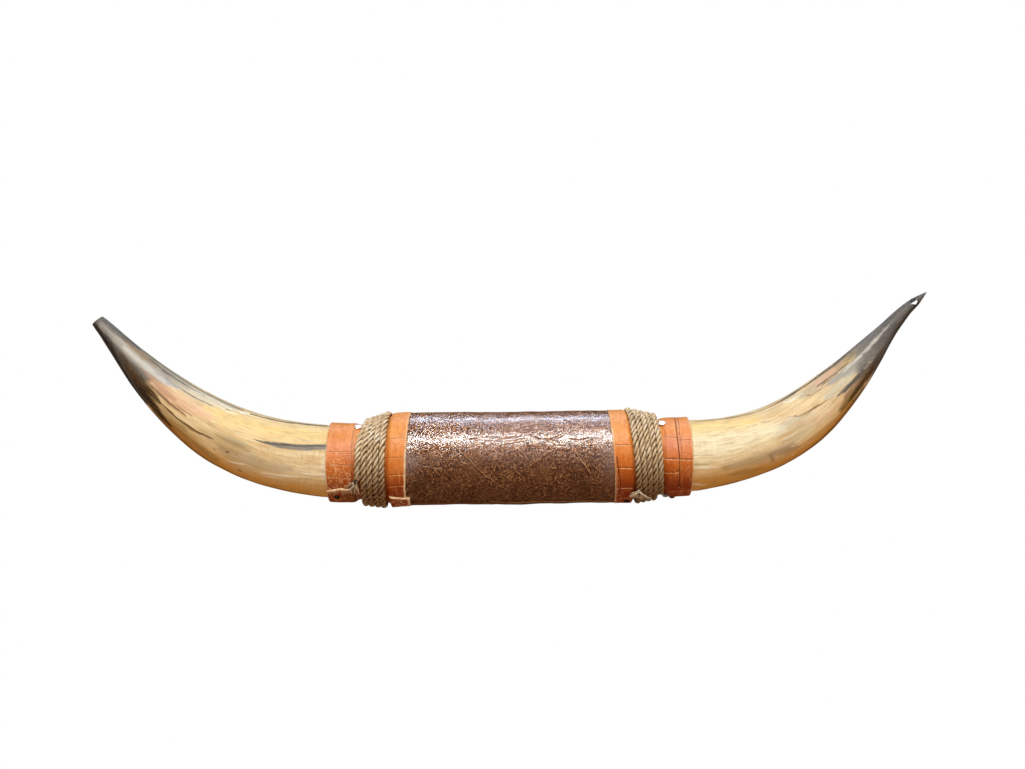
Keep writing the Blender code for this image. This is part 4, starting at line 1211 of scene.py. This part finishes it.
def tool_wrap(draw, x, y, relief):
    """Presses the photo's lines into the relief, and shorter random ones between and behind them."""
    for line, lift in TOOLED:
        knots = np.array([(px, math.radians(angle) * WRAP_RADIUS / MM) for px, angle in line])
        run = np.concatenate([[0], np.cumsum(np.hypot(*np.diff(knots, axis=0).T))])
        at = np.linspace(0, run[-1], int(run[-1] / PRESS_STEP) + 2)
        px, py = (np.interp(at, run, knots[:, k]) for k in range(2))
        px = px + 0.35 * np.sin(at * 1.1)
        py = py + 0.35 * np.sin(at * 0.8 + 2)
        press(x, y, relief, px, py, 1.3 * lift)
    for _ in range(CREASES):
        middle = (draw.uniform(-118, 118), draw.uniform(y.min(), y.max()))
        length = draw.choice([draw.uniform(4, 9), draw.uniform(9, 22)], p=[0.7, 0.3])
        heading = draw.choice([draw.normal(0.75, 0.4), draw.normal(-0.75, 0.4), draw.uniform(-1.6, 1.6)])
        count = max(int(length / PRESS_STEP), 4)
        heads = heading + draw.normal(0, 0.06) * (np.arange(count) - count / 2) * length / count
        px = middle[0] + np.cumsum(np.cos(heads)) * length / count - math.cos(heading) * length / 2
        py = middle[1] + np.cumsum(np.sin(heads)) * length / count - math.sin(heading) * length / 2
        press(x, y, relief, px, py, draw.uniform(0.40, 0.95))


def wrap_relief(points, x, y, noise):
    """The crinkle of the wrap: its tooled lines, its creases and the crests of its folds."""
    relief = np.zeros(x.shape)
    tool_wrap(np.random.default_rng(WRAP_SEED), x, y, relief)
    for seed, (size, width, height) in enumerate(FOLDS):
        shifted = points + 0.7 * MM * noise(points + seed, 5 * MM)[..., None] + seed
        relief += height * np.exp(-((noise(shifted, size * MM) / width) ** 2))
    return relief


def wrap_dents(x, y):
    """How deep the wrap is dented, in mm."""
    dents = np.zeros(x.shape)
    for line, depth in WRAP_DENTS:
        dents = np.maximum(dents, stroke(x, y, line, 0.9, depth))
    return dents


def wrap_radius(points, sx, angle, folded, noise):
    """The wrap's radius, with its folds and dents, swells, pressed ends and wavy lap."""
    swell = 0.55 * noise(points + 4.0, 34 * MM) + 0.30 * noise(points + 5.0, 15 * MM)
    inward = WRAP_HALF - np.abs(sx)
    edge = ease(0, 3.0 * MM, inward)
    behind = ease(WRAP_RADIUS * 0.80, WRAP_RADIUS * 0.87, -WRAP_RADIUS * np.cos(np.radians(angle)))
    calm = 1 - 0.93 * (behind * ease(0.112, 0.100, np.abs(sx)))
    height = folded + swell * edge
    radius = WRAP_RADIUS + MM * height * calm * (0.35 + 0.65 * edge)
    radius -= 0.6 * MM * (1 - ease(0, 1.4 * MM, inward))
    wavy = 1 + 0.55 * np.sin(sx * 52 + 0.6) + 0.35 * np.sin(sx * 131)
    return radius + WRAP_LAP_HEIGHT * lap_share(angle, WRAP_LAP_EDGE) * (0.72 + 0.38 * wavy)


def wrap_points(spines, sx, angle, radius, flat):
    """Points of the sleeve, whose back is cut off at the flat between its two run-outs."""
    s = np.abs(sx)
    left = spines["left"].around(s, angle, radius)
    right = spines["right"].around(s, angle, radius)
    points = np.where((sx < 0)[..., None], left, right)
    limit = -WALL_REACH + flat
    run_out = np.clip((s - FLAT_HALF) / FLAT_RUNOUT, 0, 1) * (WRAP_RADIUS + 0.002 - flat)
    back = points[..., 1]
    points[..., 1] = np.minimum(back, limit + run_out)
    return points


def wrap_lining(spines, sx, angle):
    """The wrap's inner side, with rows at its ends and bends, and a few between."""
    bends = (-FLAT_HALF - FLAT_RUNOUT, -FLAT_HALF, FLAT_HALF, FLAT_HALF + FLAT_RUNOUT, WRAP_HALF)
    between = (WRAP_ROWS // 3, WRAP_ROWS // 2, 2 * WRAP_ROWS // 3)
    rows = np.unique([0, *np.searchsorted(sx[:, 0], bends), *between])
    below = np.full(angle[rows].shape, WRAP_RADIUS - LEATHER)
    return wrap_points(spines, sx[rows], angle[rows], below, FLAT - LEATHER)


def make_wrap(spines, look, noise):
    """The brown sleeve: crinkled and tooled, lapped low in front, and flat where the hanger sits."""
    along = np.linspace(-WRAP_HALF, WRAP_HALF, WRAP_ROWS)
    angles = columns_with_lap(WRAP_LAP_EDGE, *WRAP_STEPS)
    sx, angle = np.meshgrid(along, angles, indexing="ij")
    smooth_points = wrap_points(spines, sx, angle, np.full(sx.shape, WRAP_RADIUS), FLAT)
    x = sx / MM
    y = np.radians(angle) * WRAP_RADIUS / MM
    relief = wrap_relief(smooth_points, x, y, noise)
    folded = 0.18 * (relief - 0.3) - wrap_dents(x, y)
    radius = wrap_radius(smooth_points, sx, angle, folded, noise)
    outer = wrap_points(spines, sx, angle, radius, FLAT + MM * 0.05 * relief)
    lining = wrap_lining(spines, sx, angle)
    points = np.concatenate([outer.reshape(-1, 3), lining[::-1].reshape(-1, 3)])
    faces = looped_faces(points, WRAP_ROWS + len(lining), len(angles))

    facing = signed(angle)
    raw = ease(0.7, 0.2, np.abs(angle - 360 - WRAP_LAP_EDGE + 0.9)) * ease(-0.045, 0.02, sx)
    # High where hands rub the front and low below and behind; where it is low the look paints shade and the
    # leather is rougher
    polish = ease(-6, 20, facing) - 1.6 * ease(86, 108, facing) - 0.6 * ease(-110, -150, facing)
    left_end = ease(-96, -119, x) * ease(30, 5, np.abs(facing - 2))
    right_end = 0.7 * ease(92, 121, x) * ease(55, 10, np.abs(facing - 8))
    # A painted grey sheen in patches over the upper half
    upper_sheen = 0.12 * ease(0.05, 0.6, noise(smooth_points + 8.0, 24 * MM)) * ease(-20, 10, facing)
    chill = 0.62 * (left_end + right_end) + upper_sheen
    inside = len(lining) * len(angles)
    values = {
        "grey": with_lining(np.clip(chill, 0, 1), inside, 0.0),
        "relief": with_lining(np.clip(0.3 + 0.55 * relief, 0, 1), inside, 0.3),
        "raw": with_lining(np.clip(raw, 0, 1), inside, 0.6),
        "polish": with_lining(polish, inside, 0.0),
    }
    return mesh_object(PREFIX + "wrap", points, faces.tolist(), look, values)


def cuff_outside(side):
    """The cuff's outline along the spine, as (s, radius) stations."""
    cone_start, cone_end = side["cone"]
    return (
        (BAND_START, BAND_RADIUS), (BAND_END, BAND_RADIUS), (0.1410, BAND_RADIUS - 0.0007),
        (CONE_START, cone_start), (CONE_END, cone_end), (0.1840, RIM_RADIUS - 0.0006),
        (RIM_START, RIM_RADIUS), (side["cuff_end"], RIM_RADIUS),
    )


def cuff_places(side):
    """Distances of a cuff's rings: close in the band and the rim, wide under the rope."""
    end = side["cuff_end"]
    band = np.arange(BAND_START, 0.1418, 0.00055)
    under = np.arange(0.1420, 0.1780, 0.0024)
    rim = np.arange(0.1782, end - 0.0003, 0.00058)
    return np.concatenate([band, under, rim, [end]])


def cuff_grooves(side, x, y):
    """How deep the cuff's pressed lines are, and how high the lips beside them, in mm."""
    deep = np.zeros(x.shape)
    lips = np.zeros(x.shape)
    marks = list(CUFF_GROOVES[side["name"]])
    for angle in BACK_GROOVES:
        turn = signed(angle)
        marks.append((((0.1225, turn), (0.1405, turn + 1)), *BACK_GROOVE))
        marks.append((((0.1805, turn + 6), (side["cuff_end"] - 0.001, turn + 5)), *BACK_GROOVE))
    for line, half_width, depth in marks:
        reach = (BAND_RADIUS if line[0][0] < CONE_END else RIM_RADIUS) / MM
        drawn = [(s / MM, np.radians(angle) * reach, half_width) for s, angle in line]
        deep = np.maximum(deep, stroke(x, y, drawn, 0.7, depth))
        beside = [(px, py - 1.5 * half_width, half_width) for px, py, _ in drawn]
        lips = np.maximum(lips, stroke(x, y, beside, 0.9, depth))
    return deep, lips


def cuff_lining(spine, s, angle, radius):
    """Rings from the cuff's rim in to the horn, back along its inside and out at its band's edge."""
    side = spine.side
    end = side["cuff_end"]
    rings = []
    gap = radius[-1] - smooth(side["radius"], np.array(end)) - 0.0002
    for forward, share in RIM_CURL:
        rings.append(spine.around(s[-1] + forward, angle[-1], radius[-1] - share * gap))
    inside = (
        (end - 0.004, RIM_RADIUS), (0.186, RIM_RADIUS), (0.1790, side["cone"][1]),
        (0.1408, side["cone"][0]), (BAND_END, BAND_RADIUS), (BAND_START, BAND_RADIUS),
    )
    for place, outside in inside:
        level = np.full(angle[-1].shape, place)
        rings.append(spine.around(level, angle[-1], np.full(level.shape, outside - CUFF_LEATHER)))
    for back, share in BAND_LIP:
        reach = BAND_RADIUS - CUFF_LEATHER + (radius[0] - BAND_RADIUS + CUFF_LEATHER) * (1 - share)
        rings.append(spine.around(s[0] - back, angle[0], reach))
    return rings


def cuff_raw(side, s, angle, lap, bare, torn):
    """Where the cuff's torn edges show their pale inside."""
    left = side["name"] == "left"
    facing = signed(angle)
    near_edge = np.abs(lap + 360 - angle)
    wide, share = (2.6, 1.0) if left else (1.2, 0.10)
    raw = ease(wide + torn, 0.4 * wide + torn, near_edge) * bare * share
    if left:
        raw = np.maximum(raw, (0.45 + 0.4 * torn) * ease(9, 1, near_edge) * (s > RIM_FROM))
        worn = 1.0 - 0.6 * ease(5, 45, facing)
    else:
        worn = 0.25 + 0.6 * ease(14, 4, np.abs(facing - 30))
    raw = np.maximum(raw, worn * ease(1.7, 0.9, (s - s[0]) / MM + 0.55 * torn))
    raw = np.maximum(raw, 0.7 * ease(0.5, 0.0, (side["cuff_end"] - s) / MM + 0.5 * torn))
    return raw * (0.95 + 0.3 * torn)


def cuff_stains(side, s, angle, lap):
    """Where the cuff has painted shade towards its bottom and below its flap's edge, a painted lighter top,
    a rosy tint and cracks.
    """
    facing = signed(angle)
    left = side["name"] == "left"
    if left:
        cracked = ease(0.180, 0.188, s) * ease(34, -6, facing) * ease(-75, -50, facing)
        cracked = np.maximum(cracked, ease(0.1430, 0.1400, s) * ease(250, 300, angle))
    else:
        cracked = 0.35 * ease(0.180, 0.190, s) * ease(40, 10, np.abs(facing))
    # Painted shade on the left flap, just below its torn edge
    olive = 0.55 * ease(0.2005, 0.1960, s) * (s > RIM_FROM) * ease(lap + 1, lap - 2, facing) * left
    blush = 0.40 if left else 0.65
    on_rim = ease(0.176, 0.185, s)
    return {
        # rust: painted shade, darker from the front down round the bottom
        "rust": 0.97 * ease(12, -46, facing) * ease(-185, -150, facing),
        "rosy": blush * on_rim * ease(-10, 15, facing) * (1 - ease(22, 52, facing)),
        # Painted light on the cuff's top
        "sunned": 0.75 * ease(15, 60, 75 - np.abs(facing - 60)) * (1 - 0.35 * on_rim),
        "olive": olive * ease(-130, -85, facing),
        "cracked": cracked,
    }


def cuff_grid(side):
    """A cuff's distances, angles and lap angles. Its columns near the lap follow the lap's edge."""
    mean_lap = straight(side["lap"], LAP_MIDDLE)
    angles = columns_with_lap(mean_lap, *CUFF_STEPS)
    s, angle = np.meshgrid(cuff_places(side), angles, indexing="ij")
    lap = straight(side["lap"], s)
    near_lap = np.exp(-((signed(angle - mean_lap) / 45) ** 2))
    return s, angle + (lap - mean_lap) * near_lap, lap


def make_cuff(spine, look, noise):
    """A cuff with pressed scales, a lapped flap, raw edges, and its outer rim turned on the horn."""
    side = spine.side
    s, angle, lap = cuff_grid(side)
    profile = 0
    for shift in (-0.0008, 0.0, 0.0008):
        profile = profile + straight(cuff_outside(side), s + shift) / 3
    pressed = ease(0.1395, 0.1420, s) * ease(0.1850, 0.1805, s)
    share = lap_share(angle, lap)

    drift = np.stack([s, 0 * s, np.radians(angle) * 0.05], axis=-1)
    x = s / MM + 0.35 * noise(drift, 4 * MM)
    y = np.radians(signed(angle)) * profile / MM + 0.35 * noise(drift + (0, 1, 0), 4 * MM)
    deep, lips = cuff_grooves(side, x, y)
    flat_points = spine.around(s, angle, profile)
    tear = 0.30 * noise(flat_points[0] + 11.0, 1.4 * MM) + 0.30 * noise(flat_points[0] + 12.0, 5 * MM)
    over = side["over_wrap"] * share[0] * ease(250, 268, angle[0])
    s = s - ease(0.1300, BAND_START, s) * (over + MM * tear * ease(0.1225, BAND_START, s))
    swell = 0.35 * noise(flat_points + 2.0, 16 * MM) + 0.16 * noise(flat_points + 3.0, 5 * MM)
    swell += 0.07 * noise(flat_points + 4.0, 2 * MM)
    height = swell * (1 - 0.6 * pressed) - deep + 0.5 * lips
    radius = profile + side["lap_height"] * share * (1 - pressed) + MM * height

    lining = cuff_lining(spine, s, angle, radius)
    rows = [*spine.around(s, angle, radius), *lining]
    columns = angle.shape[1]
    points = np.concatenate(rows)
    faces = looped_faces(points, len(rows), columns)
    torn = noise(flat_points + 6.0, 2.0 * MM)
    fields = cuff_stains(side, s, angle, lap)
    fields["raw"] = cuff_raw(side, s, angle, lap, 1 - pressed, torn)
    fields["groove"] = deep / 0.6
    # The lips also carry a painted highlight in the look
    fields["lip"] = lips * (deep < 0.1) / 0.4
    values = {}
    for key, field in fields.items():
        inside = 0.9 if key == "raw" else 0.0
        values[key] = with_lining(np.clip(field, 0, 1), len(lining) * columns, inside)
    return mesh_object(PREFIX + "cuff_" + side["name"], points, faces.tolist(), look, values)


def rope_route(spine):
    """The lashing's centre line, as points about a millimetre apart with their directions."""
    side = spine.side
    rope = side["rope"]
    wound = np.arange(0, rope["first"] - rope["last"] + 0.01, ROPE_STEP)
    lead = np.clip(1 - wound / LEAD_IN, 0, 1)
    s = rope["start"] + rope["pitch"] * wound / 360 - LEAD_SHIFT * lead
    slope = (side["cone"][1] - side["cone"][0]) / (CONE_END - CONE_START)
    radius = side["cone"][0] + slope * (s - CONE_START) + ROPE_RISE + LEAD_LIFT * lead**2
    angle = rope["first"] - wound
    facing = signed(angle)
    outer = np.clip((s - rope["start"]) / (s.max() - rope["start"]), 0, 1)
    s = s - side["gather"] * outer * ease(20, 70, facing) * ease(175, 120, facing)
    points = spine.around(s, angle, radius)
    out = points - spine.point(s)
    out = out / np.linalg.norm(out, axis=-1, keepdims=True)
    ahead = np.gradient(points, axis=0)
    step = np.linalg.norm(ahead, axis=1)
    ahead /= step[:, None]
    # The last value is painted shade, which grows towards the rope's underside
    return {
        "points": points, "out": out, "ahead": ahead, "across": np.cross(ahead, out),
        "travelled": np.cumsum(step), "dusk": np.clip((0.28 - np.sin(np.radians(angle))) / 0.85, 0, 1),
    }


class Bundle:
    """Gathers tubes into one mesh, with the rope's attributes."""

    def __init__(self):
        self.parts = {"points": [], "thread": [], "depth": [], "loose": [], "dusk": []}
        self.faces = []
        self.count = 0

    def tube(self, rings, depth, thread, loose=0.0, dusk=0.0):
        """Adds a tube over rings of points, closed at its ends."""
        rows, columns = rings.shape[:2]
        self.faces += grid_faces(rows, columns, self.count)[:, ::-1].tolist()
        last = self.count + (rows - 1) * columns
        self.faces.append(list(range(self.count, self.count + columns)))
        self.faces.append(list(range(last, last + columns))[::-1])
        self.parts["points"].append(rings.reshape(-1, 3))
        self.parts["thread"].append(thread.reshape(-1, 3))
        for key, value in (("depth", depth), ("loose", loose), ("dusk", dusk)):
            self.parts[key].append(np.broadcast_to(value, (rows, columns)).ravel())
        self.count += rows * columns

    def fibre(self, route, width, loose, dusk=0.0, sides=3, depth=1.0):
        """Adds a thin tapering fibre along a route of points."""
        heading = np.gradient(route, axis=0)
        heading /= np.linalg.norm(heading, axis=1, keepdims=True)
        side = np.cross(heading, np.array([0.31, 0.17, 0.93]))
        side /= np.linalg.norm(side, axis=1, keepdims=True)
        other = np.cross(heading, side)
        taper = np.linspace(1.0, 0.25, len(route))[:, None, None] * width
        turn = np.arange(sides) * 2 * np.pi / sides
        ring = np.cos(turn)[None, :, None] * side[:, None] + np.sin(turn)[None, :, None] * other[:, None]
        rings = route[:, None] + taper * ring
        self.tube(rings, np.reshape(depth, (-1, 1)), rings, loose, dusk)

    def finish(self, name, look):
        """The mesh object with everything that was added."""
        joined = {key: np.concatenate(parts) for key, parts in self.parts.items()}
        points = joined.pop("points")
        vectors = {"thread": joined.pop("thread")}
        return mesh_object(name, points, self.faces, look, joined, vectors)


def add_strand(builder, route, strand, full, noise):
    """One of the rope's three strands, with how far out each place is, which paints shade in its crevices,
    and where it is on its thread.
    """
    travelled = route["travelled"]
    points = route["points"][:, None]
    out = route["out"][:, None]
    across = route["across"][:, None]
    phase = 2 * np.pi * travelled / ROPE_LAY + strand * 2 * np.pi / 3
    phase = phase + 0.40 * noise(on_line(travelled, strand + 4), 9 * MM)
    phase = phase + 1.5 * noise(on_line(travelled, 9), 42 * MM)
    phase = phase[:, None]
    spread = np.cos(phase) * route["out"] + np.sin(phase) * route["across"]
    centre = route["points"] + full * STRAND_OFFSET * spread
    around = np.arange(ROPE_SIDES) * 2 * np.pi / ROPE_SIDES
    uneven = noise(on_line(travelled, strand), 3.2 * MM)
    reach = full * STRAND_RADIUS * (1 + 0.19 * uneven[:, None] + 0 * around)
    turned = np.cos(around)[None, :, None] * out + np.sin(around)[None, :, None] * across
    ring = centre[:, None] + reach[..., None] * turned
    # Painted shade: darker towards the rope's axis, in the crevices between strands, and where a strand
    # turns in towards the cuff between turns
    from_axis = np.linalg.norm(ring - points, axis=-1)
    depth = ease(0.4 * full * ROPE_REACH * MM, full * ROPE_REACH * MM, from_axis)
    lifted = ((ring - points) * out).sum(axis=-1) / (full * ROPE_REACH * MM)
    depth = depth * ease(-0.45, 0.52, lifted)
    thread = np.stack([
        np.broadcast_to(travelled[:, None] * 0.06 + strand, reach.shape),
        STRAND_RADIUS * np.cos(around + 0.9 * phase),
        STRAND_RADIUS * np.sin(around + 0.9 * phase),
    ], axis=-1)
    builder.tube(ring, depth, thread, dusk=route["dusk"][:, None])


def add_hairs(builder, route, full, draw):
    """Short stray fibres that stand off the rope."""
    points = route["points"]
    across = route["across"]
    for _ in range(HAIRS):
        i = draw.integers(2, len(points) - 2)
        lean = draw.uniform(-1.3, 1.3)
        out = math.cos(lean) * route["out"][i] + math.sin(lean) * across[i]
        start = points[i] + out * full * (STRAND_OFFSET + STRAND_RADIUS * 0.75)
        drift = route["ahead"][i] * draw.normal(0, 1.0) + across[i] * draw.normal(0, 0.8)
        length = draw.uniform(1.2, 4.0) * MM
        lift = draw.uniform(0.1, 0.5)
        t = np.linspace(0, 1, 3)[:, None]
        hair = start + length * t * (drift * 0.8 + out * lift) - length * 0.35 * t**2 * out
        builder.fibre(hair, draw.uniform(0.05, 0.11) * MM, draw.uniform(0.0, 0.9), route["dusk"][i])


def add_fray(builder, spine, draw):
    """The lashing's untwisted end: bent yarns and fine hairs, fanned out over what lies below it."""
    fray = FRAYS[spine.side["name"]]
    place, turn, height = fray["root"]
    first, second = (np.array(way) for way in fray["fan"])
    t = np.linspace(0, 1, FRAY_STEPS)
    for index in range(fray["yarns"] + fray["hairs"]):
        yarn = index < fray["yarns"]
        way = first + draw.uniform(-0.05, 1.05) * (second - first)
        curl = np.cumsum(draw.normal(0, fray["curl"], (FRAY_STEPS, 3)), axis=0) * t[:, None]
        reach = draw.uniform(0.45, 1.05)
        along = draw.normal(0, fray["spread"]) + way[0] * reach * t + curl[:, 0]
        up = draw.normal(0, fray["spread"]) + way[1] * reach * t + curl[:, 1]
        radius = height + draw.uniform(-1.2, 2.2) * MM * (1 - 0.3 * t) + curl[:, 2] * MM
        radius = np.maximum(radius, fray["floor"])
        angle = turn + np.degrees(up * MM / height)
        route = spine.around(place + along * MM, angle, radius)
        # A random darker tone for each yarn, carried by the value that paints the rope's shade
        dusk = draw.choice([0.0, 0.5, 1.0])
        loose = draw.uniform(0.6, 1.0) if draw.random() < fray["pale"] else 0.0
        width = draw.uniform(0.50, 0.85) if yarn else draw.uniform(0.10, 0.20)
        # Painted shade: some yarns darker as if they lay under others, and each yarn darker towards its
        # root
        hidden = draw.choice([0.25, 0.75, 1.0]) if loose == 0.0 else 1.0
        builder.fibre(route, width * MM, loose, dusk, 6 if yarn else 3, hidden * ease(-0.2, 0.5, t))


def make_rope(spine, look, noise):
    """Three twisted strands, loose hairs and a frayed end."""
    side = spine.side
    full = side["rope"]["fullness"]
    route = rope_route(spine)
    builder = Bundle()
    for strand in range(3):
        add_strand(builder, route, strand, full, noise)
    add_hairs(builder, route, full, np.random.default_rng(HAIR_SEED + side["way"]))
    add_fray(builder, spine, np.random.default_rng(FRAY_SEED + side["way"]))
    return builder.finish(PREFIX + "rope_" + side["name"], look)


def tack_seat(name, spines):
    """Where a tack's head sits on its cuff, and the outward direction there."""
    side_name, place, angle, head, _ = TACKS[name]
    spine = spines[side_name]
    side = spine.side
    outside = cuff_outside(side)
    surface = max(float(straight(outside, place)), float(straight(outside, place + head)))
    if angle < straight(side["lap"], place):
        surface += side["lap_height"]
    s = np.array([place])
    base = spine.around(s, np.array([float(angle)]), np.array([surface]))[0]
    outward = base - spine.point(s)[0]
    return base, outward / np.linalg.norm(outward)


def make_tack(name, spines, look, noise):
    """A dented domed head on a short shank, sitting on its cuff."""
    angle, head = TACKS[name][2:4]
    base, outward = tack_seat(name, spines)
    side_way = np.cross(outward, np.array([1.0, 0.0, 0.0]))
    side_way /= np.linalg.norm(side_way)
    other = np.cross(outward, side_way)
    arc = np.linspace(0.06, 0.5, TACK_RINGS) * np.pi
    profile = [(head * math.sin(t), TACK_DOME * math.cos(t) + 0.0002) for t in arc]
    profile += [(head * 0.97, -0.0002), (head * 0.8, -0.0001)]
    profile += [(TACK_SHANK, 0.0), (TACK_SHANK, -TACK_LENGTH)]
    turn = np.arange(TACK_SIDES) * 2 * np.pi / TACK_SIDES
    ring = np.cos(turn)[:, None] * side_way + np.sin(turn)[:, None] * other
    points = np.concatenate([base + reach * ring + height * outward for reach, height in profile])
    dented = (TACK_RINGS + 1) * TACK_SIDES
    points[:dented] += (0.22 * MM * noise(points[:dented] + 3.0, 2.4 * MM))[:, None] * outward
    faces = facing_out(points, grid_faces(len(profile), TACK_SIDES)).tolist()
    top = len(points)
    crown = points[:TACK_SIDES].mean(axis=0) + 0.00003 * outward
    points = np.concatenate([points, [crown, base - (TACK_LENGTH + 0.0012) * outward]])
    faces += [face[::-1] for face in fan_faces(np.arange(TACK_SIDES), top)]
    faces += fan_faces(np.arange(top - TACK_SIDES, top), top + 1)
    # Tacks below the middle get a darker purple-grey tint
    tarnish = np.full(len(points), 0.8 if angle < 0 else 0.0)
    return mesh_object(PREFIX + name, points, faces, look, {"tarnish": tarnish})


def dress(node, look):
    """Gives a carried-over node its material."""
    for slot in node.material_slots:
        slot.material = look


def make_world():
    """A white backdrop for the camera, and for the object an even light that is warm from below."""
    world = bpy.data.worlds.new("studio")
    bpy.context.scene.world = world
    world.use_nodes = True
    graph = Graph(world.node_tree)
    seen = world.node_tree.nodes["Background"]
    graph.fill(seen.inputs["Color"], (1.0, 1.0, 1.0))
    way = graph.node("TexCoord", {}).outputs["Generated"]
    lift = graph.span(graph.node("SeparateXYZ", {"Vector": way}).outputs["Z"], -1.0, 1.0)
    path = graph.node("LightPath", {}).outputs
    shine = graph.span(path["Is Glossy Ray"], 0.0, 1.0, 1.0, FILL_SHINE)
    fill = graph.node("Background", {"Color": graph.ramp(lift, *FILL), "Strength": shine})
    lights = {1: fill.outputs["Background"], 2: seen.outputs["Background"]}
    mix = graph.node("MixShader", {0: path["Is Camera Ray"], **lights})
    graph.fill(world.node_tree.nodes["World Output"].inputs["Surface"], mix.outputs["Shader"])


def make_floor():
    """A plain pale floor well below the mount, which fades out into the backdrop."""
    look = Look("floor")
    where = look.object_place()
    shade = look.noise(where, 0.4, 2, 0.5)
    look.set(base_color=look.mix(shade, (0.86, 0.86, 0.86), (0.90, 0.90, 0.90)), roughness=0.9)
    look.set(specular_ior_level=0.1)
    reach = look.node("VectorMath", {0: where}, operation="LENGTH").outputs["Value"]
    look.set(alpha=look.span(reach, FLOOR_SOLID, FLOOR_EDGE, 1.0, 0.0))
    corners = FLOOR_EDGE * np.array([(-1, -1, 0), (1, -1, 0), (1, 1, 0), (-1, 1, 0)], float)
    floor = mesh_object("floor", corners, [(0, 1, 2, 3)], look.material)
    floor.location = (0, 0, -FLOOR_DROP)
    floor.visible_glossy = False


def make_camera():
    """The photo's view: level, a little above the wrap, with a slight roll."""
    data = bpy.data.cameras.new("camera")
    data.sensor_width = SENSOR
    data.sensor_fit = "HORIZONTAL"
    data.lens = FOCAL_PIXELS * SENSOR / IMAGE_WIDTH
    camera = bpy.data.objects.new("camera", data)
    roll = math.radians(CAMERA_ROLL)
    right = Vector((math.cos(roll), 0, -math.sin(roll)))
    up = Vector((math.sin(roll), 0, math.cos(roll)))
    back = Vector((0, -1, 0))
    place = Vector((0, -WALL_REACH, -HANGER_RISE)) + Vector(CAMERA_OFFSET)
    camera.matrix_world = Matrix.Translation(place) @ Matrix((right, up, back)).transposed().to_4x4()
    bpy.context.scene.collection.objects.link(camera)
    bpy.context.scene.camera = camera


def make_lights():
    """A broad soft front light, and two narrow strips overhead that only draw the highlights."""
    middle = Vector((0.0, -WALL_REACH, 0.0))
    for name, direction, distance, size, power, tint, unseen in LIGHTS:
        data = bpy.data.lights.new(name, "AREA")
        data.shape = "RECTANGLE"
        data.size, data.size_y = size
        data.energy = power
        data.color = tint
        light = bpy.data.objects.new(name, data)
        way = Vector(direction).normalized()
        light.location = middle + way * distance
        light.rotation_euler = way.to_track_quat("Z", "Y").to_euler()
        setattr(light, unseen, False)
        bpy.context.scene.collection.objects.link(light)


def make_pieces():
    """Every drawn piece, with the name of its material slot."""
    noise = Noise(NOISE_SEED)
    spines = {"left": Spine(LEFT), "right": Spine(RIGHT)}
    looks = {
        "horn": horn_look(), "jute": jute_look(),
        "brown_leather": wrap_look(), "orange_leather": cuff_look(),
        "bright_tack": tack_look("bright_tack", True), "dark_tack": tack_look("dark_tack", False),
    }
    made = [(make_wrap(spines, looks["brown_leather"], noise), "brown_leather")]
    for name, spine in spines.items():
        piece = make_horn(spine, looks["horn"], noise)
        if name == "right":
            chip_tip(piece, spine)
        made.append((piece, "horn"))
        made.append((make_cuff(spine, looks["orange_leather"], noise), "orange_leather"))
        made.append((make_rope(spine, looks["jute"], noise), "jute"))
    for name, (*_, bright) in TACKS.items():
        slot = "bright_tack" if bright else "dark_tack"
        made.append((make_tack(name, spines, looks[slot], noise), slot))
    return made


def main():
    """Draws every piece round the frame, and lights it as the photo does."""
    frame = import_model()
    bpy.context.scene.view_settings.view_transform = "Standard"
    make_camera()
    make_lights()
    make_world()
    make_floor()

    for piece, slot in make_pieces():
        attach(piece, "root")
        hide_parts(piece.name.removeprefix(PREFIX))

    dress(frame["nodes"]["core"], wood_look())
    steel = steel_look()
    for name in ("hanger", "hanger_screw_left", "hanger_screw_right"):
        dress(frame["nodes"][name], steel)


main()
